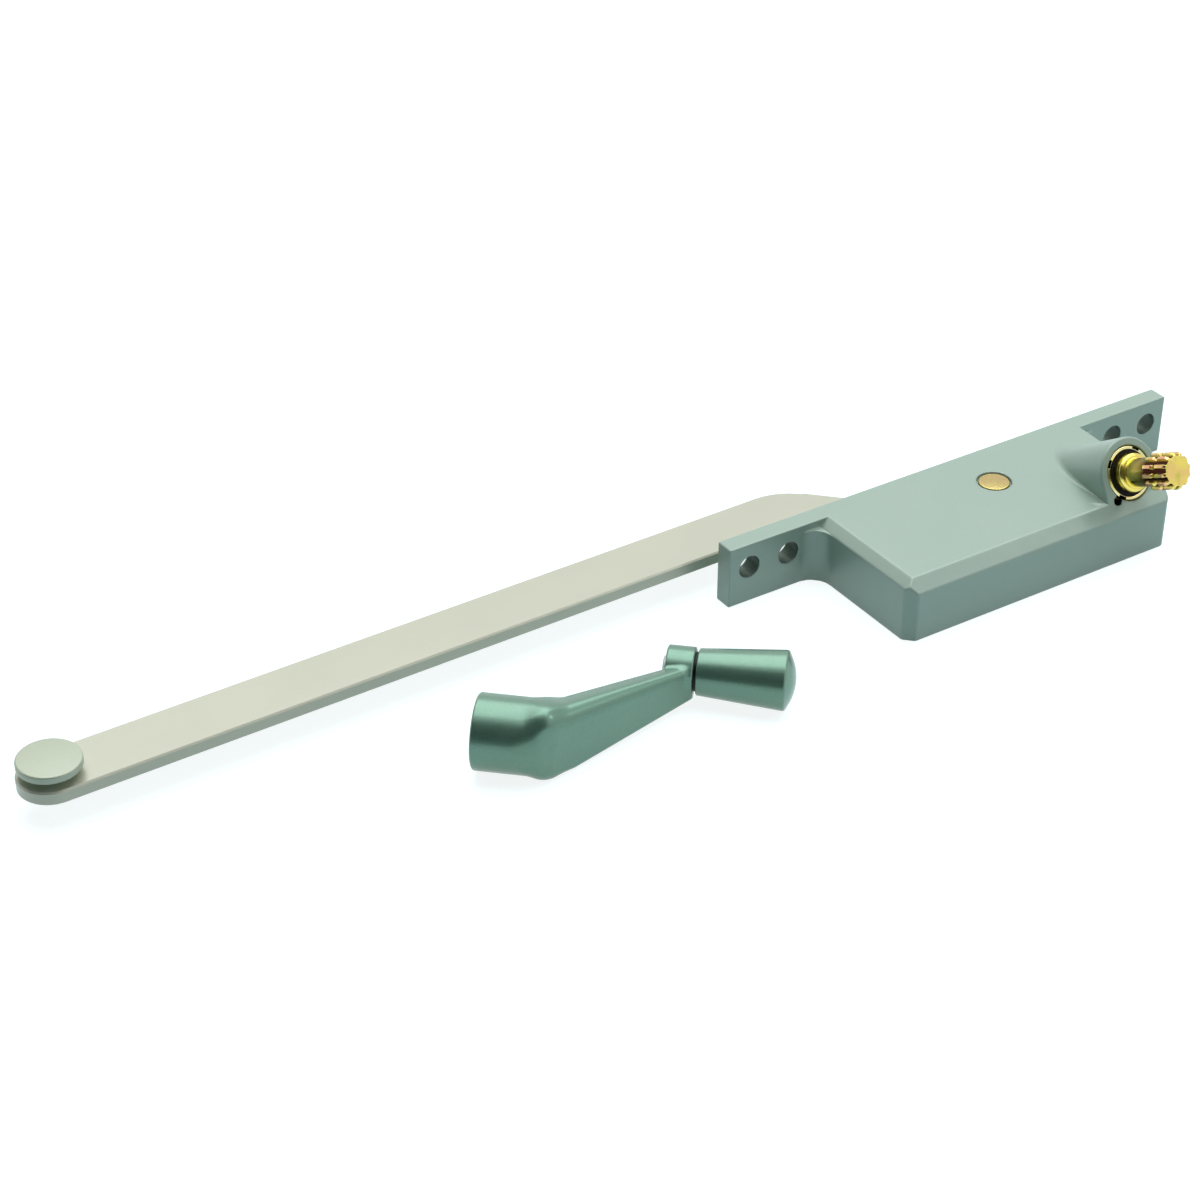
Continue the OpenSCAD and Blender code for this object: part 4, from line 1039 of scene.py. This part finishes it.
def add_shaft():
    """The crank shaft, from the worm to the spline."""
    mesh = grid_mesh("crank_shaft_turned", shaft_rings())
    smooth(mesh, 55)
    x, y, z = points_of(mesh).T
    from_axis = np.hypot(x, y)
    spline = (z > SPLINE_MARK[0]) & (z < SPLINE_MARK[1])
    # The spline's gaps are marked for painted shade, and its crests for a rose tint that is partly
    # painted highlight
    mark(mesh, "gap", spline * (1 - share_between(GAP_SHADE_MARK, from_axis)))
    mark(mesh, "tip", spline * share_between(TIP_ROSE_HIGHLIGHT_MARK, from_axis))
    mesh.transform(ON_CRANK)
    add_object("crank_shaft_turned", mesh, Matrix.Identity(4), ZINC_SHAFT, "crank",
               ["crank_shaft"])


def add_collar():
    """The notched collar in the boss's mouth."""
    reach = COLLAR_R[1] + PAST
    low = (-reach, -reach, COLLAR_TOP - COLLAR_T)
    mesh = skin("collar", collar_distance, low, (reach, reach, COLLAR_TOP), COLLAR_STEP)
    # The notches are marked for the painted shade that fills them near black
    mark(mesh, "notch", in_notch(*points_of(mesh).T, NOTCH_NEAR) < 0)
    mesh.transform(ON_CRANK)
    add_object("collar", mesh, Matrix.Identity(4), ZINC_COLLAR, "operator",
               ["retaining_collar"])


def add_arm():
    """The arm's bar, whose rounded edges carry a near-white paint as a painted highlight."""
    mesh = softened("arm_bar", "arm", ARM_BEVEL)
    # The rounded edges' faces take the painted highlight
    on_highlight_edge = [face.material_index for face in mesh.polygons]
    arm = add_object("arm", mesh, Matrix.Identity(4), ARM_PAINT, "arm", ["arm_bar"])
    mesh.materials.append(ARM_EDGE_HIGHLIGHT)
    mesh.polygons.foreach_set("material_index", on_highlight_edge)
    weigh_normals(arm)


def dress_nodes():
    """CAD nodes whose shape is right keep their meshes."""
    materials = {
        "base_plate": STEEL,
        "base_plate_screws": ZINC,
        "pivot_spacer": STEEL,
        "pivot_washer": NYLON,
        "pivot_bush": BRONZE,
        "gear_sector": STEEL,
        "sector_rivets": STEEL,
        "shaft_bush": BRONZE,
        "shaft_washer": STEEL,
        "shaft_seal": RUBBER,
        "handle_set_screw": OXIDE,
        "knob_axle": STEEL,
        "knob_washer": NYLON,
        "knob_clip": STEEL,
    }
    for node, material in materials.items():
        mesh = NODES[node].data
        mesh.materials.clear()
        mesh.materials.append(material)
        smooth(mesh, 30)


add_casting()
add_handle()
add_knob()
add_pin()
add_button()
add_shaft()
add_arm()
add_collar()
dress_nodes()


# Camera and lights, in metres and watts

# The camera as solved from the photo: its place, its axes and its lens
CAMERA_AT = (-0.37025, -0.4167, 0.33195)
CAMERA_RIGHT = (0.8379, -0.5458, 0.0042)
CAMERA_DOWN = (-0.2986, -0.4649, -0.8335)
CAMERA_AHEAD = (0.4569, 0.6971, -0.5525)
SENSOR_W = 36.0
LENS = 81.312
CLIP = (0.01, 50.0)
# The floor: half its width, its place under the part, its colour and its glow towards the camera
FLOOR_HALF = 4.0
FLOOR_DROP = 0.00002
FLOOR_TINT = (0.32, 0.48, 0.525)
FLOOR_GLOW = 0.84
# How strongly the white world lights what isn't seen or mirrored directly
WORLD_LEVEL = 0.28
# The dark screen behind the camera: a round wall of this radius, from one height to another
SCREEN_R = 1.3
SCREEN_Z = (0.02, 2.4)
SCREEN_FROM = math.radians(162)
SCREEN_SWEEP = math.radians(106)
SCREEN_STEPS = 32
SCREEN_TINT = (0.05, 0.062, 0.066)
SCREEN_ROUGH = 0.9
# The softboxes, which face the origin: name, place, side and power
SOFTBOXES = [("key", (0.40, 0.46, 1.80), 2.2, 35.0), ("edge", (0.84, -0.74, 0.90), 0.26, 1.2)]


def add_camera():
    """A camera that looks at the part as the photo does."""
    data = bpy.data.cameras.new("camera")
    data.sensor_width = SENSOR_W
    data.lens = LENS
    data.clip_start, data.clip_end = CLIP
    camera = bpy.data.objects.new("camera", data)
    bpy.context.scene.collection.objects.link(camera)
    axes = (Vector(CAMERA_RIGHT), -Vector(CAMERA_DOWN), -Vector(CAMERA_AHEAD))
    facing = Matrix(axes).transposed().to_4x4()
    camera.matrix_world = Matrix.Translation(CAMERA_AT) @ facing
    bpy.context.scene.camera = camera


def add_stage(name, verts, faces):
    """A piece of the set, which is no part of the object."""
    mesh = bpy.data.meshes.new(name)
    mesh.from_pydata(verts, [], faces)
    thing = bpy.data.objects.new(name, mesh)
    bpy.context.scene.collection.objects.link(thing)
    return thing


def shown_rays(nodes, links):
    """1 for the rays that see the background: camera, glossy and transmission."""
    path = nodes.new("ShaderNodeLightPath")
    total = path.outputs["Is Camera Ray"]
    for key in ("Is Glossy Ray", "Is Transmission Ray"):
        join = nodes.new("ShaderNodeMath")
        join.operation = "MAXIMUM"
        links.new(total, join.inputs[0])
        links.new(path.outputs[key], join.inputs[1])
        total = join.outputs[0]
    return total


def add_floor():
    """A floor that shines white at the camera and in mirrors, and still takes shadows."""
    z = BASE_Z * MM - FLOOR_DROP
    corners = [(-1, -1), (1, -1), (1, 1), (-1, 1)]
    verts = [(x * FLOOR_HALF, y * FLOOR_HALF, z) for x, y in corners]
    floor = add_stage("floor", verts, [(0, 1, 2, 3)])
    material = bpy.data.materials.new("floor")
    material.use_nodes = True
    nodes = material.node_tree.nodes
    links = material.node_tree.links
    nodes.clear()
    diffuse = nodes.new("ShaderNodeBsdfDiffuse")
    diffuse.inputs["Color"].default_value = (*FLOOR_TINT, 1)
    glow = nodes.new("ShaderNodeEmission")
    lift = nodes.new("ShaderNodeMath")
    lift.operation = "MULTIPLY"
    lift.inputs[1].default_value = FLOOR_GLOW
    links.new(shown_rays(nodes, links), lift.inputs[0])
    links.new(lift.outputs[0], glow.inputs["Strength"])
    both = nodes.new("ShaderNodeAddShader")
    out = nodes.new("ShaderNodeOutputMaterial")
    links.new(diffuse.outputs[0], both.inputs[0])
    links.new(glow.outputs[0], both.inputs[1])
    links.new(both.outputs[0], out.inputs[0])
    floor.data.materials.append(material)


def add_world():
    """A white surrounding, dimmer as a light than as a background."""
    world = bpy.data.worlds.new("world")
    bpy.context.scene.world = world
    world.use_nodes = True
    nodes = world.node_tree.nodes
    links = world.node_tree.links
    background = nodes["Background"]
    background.inputs["Color"].default_value = (1, 1, 1, 1)
    level = nodes.new("ShaderNodeMapRange")
    level.inputs["To Min"].default_value = WORLD_LEVEL
    level.inputs["To Max"].default_value = 1.0
    links.new(shown_rays(nodes, links), level.inputs["Value"])
    links.new(level.outputs[0], background.inputs["Strength"])


def add_softbox(name, at, side, power):
    """A square lamp that faces the origin, and that the camera doesn't see."""
    data = bpy.data.lights.new(name, "AREA")
    data.shape = "RECTANGLE"
    data.size = side
    data.size_y = side
    data.energy = power
    lamp = bpy.data.objects.new(name, data)
    bpy.context.scene.collection.objects.link(lamp)
    look = (-Vector(at)).to_track_quat("-Z", "Y")
    lamp.matrix_world = Matrix.Translation(at) @ look.to_matrix().to_4x4()
    lamp.visible_camera = False


def add_screen():
    """A dark screen behind the camera, which the camera doesn't see: it gives gloss its contrast."""
    turns = [SCREEN_FROM + SCREEN_SWEEP * k / SCREEN_STEPS for k in range(SCREEN_STEPS + 1)]
    arc = [(SCREEN_R * math.cos(a), SCREEN_R * math.sin(a)) for a in turns]
    verts = [(x, y, z) for z in SCREEN_Z for x, y in arc]
    row = len(arc)
    faces = [(k, k + 1, row + k + 1, row + k) for k in range(SCREEN_STEPS)]
    screen = add_stage("flags", verts, faces)
    material = bpy.data.materials.new("flags")
    material.use_nodes = True
    shader = material.node_tree.nodes["Principled BSDF"]
    shader.inputs["Base Color"].default_value = (*SCREEN_TINT, 1)
    shader.inputs["Roughness"].default_value = SCREEN_ROUGH
    screen.data.materials.append(material)
    screen.visible_camera = False


add_camera()
add_floor()
add_world()
add_screen()
for softbox in SOFTBOXES:
    add_softbox(*softbox)

bpy.context.scene.view_settings.view_transform = "Standard"
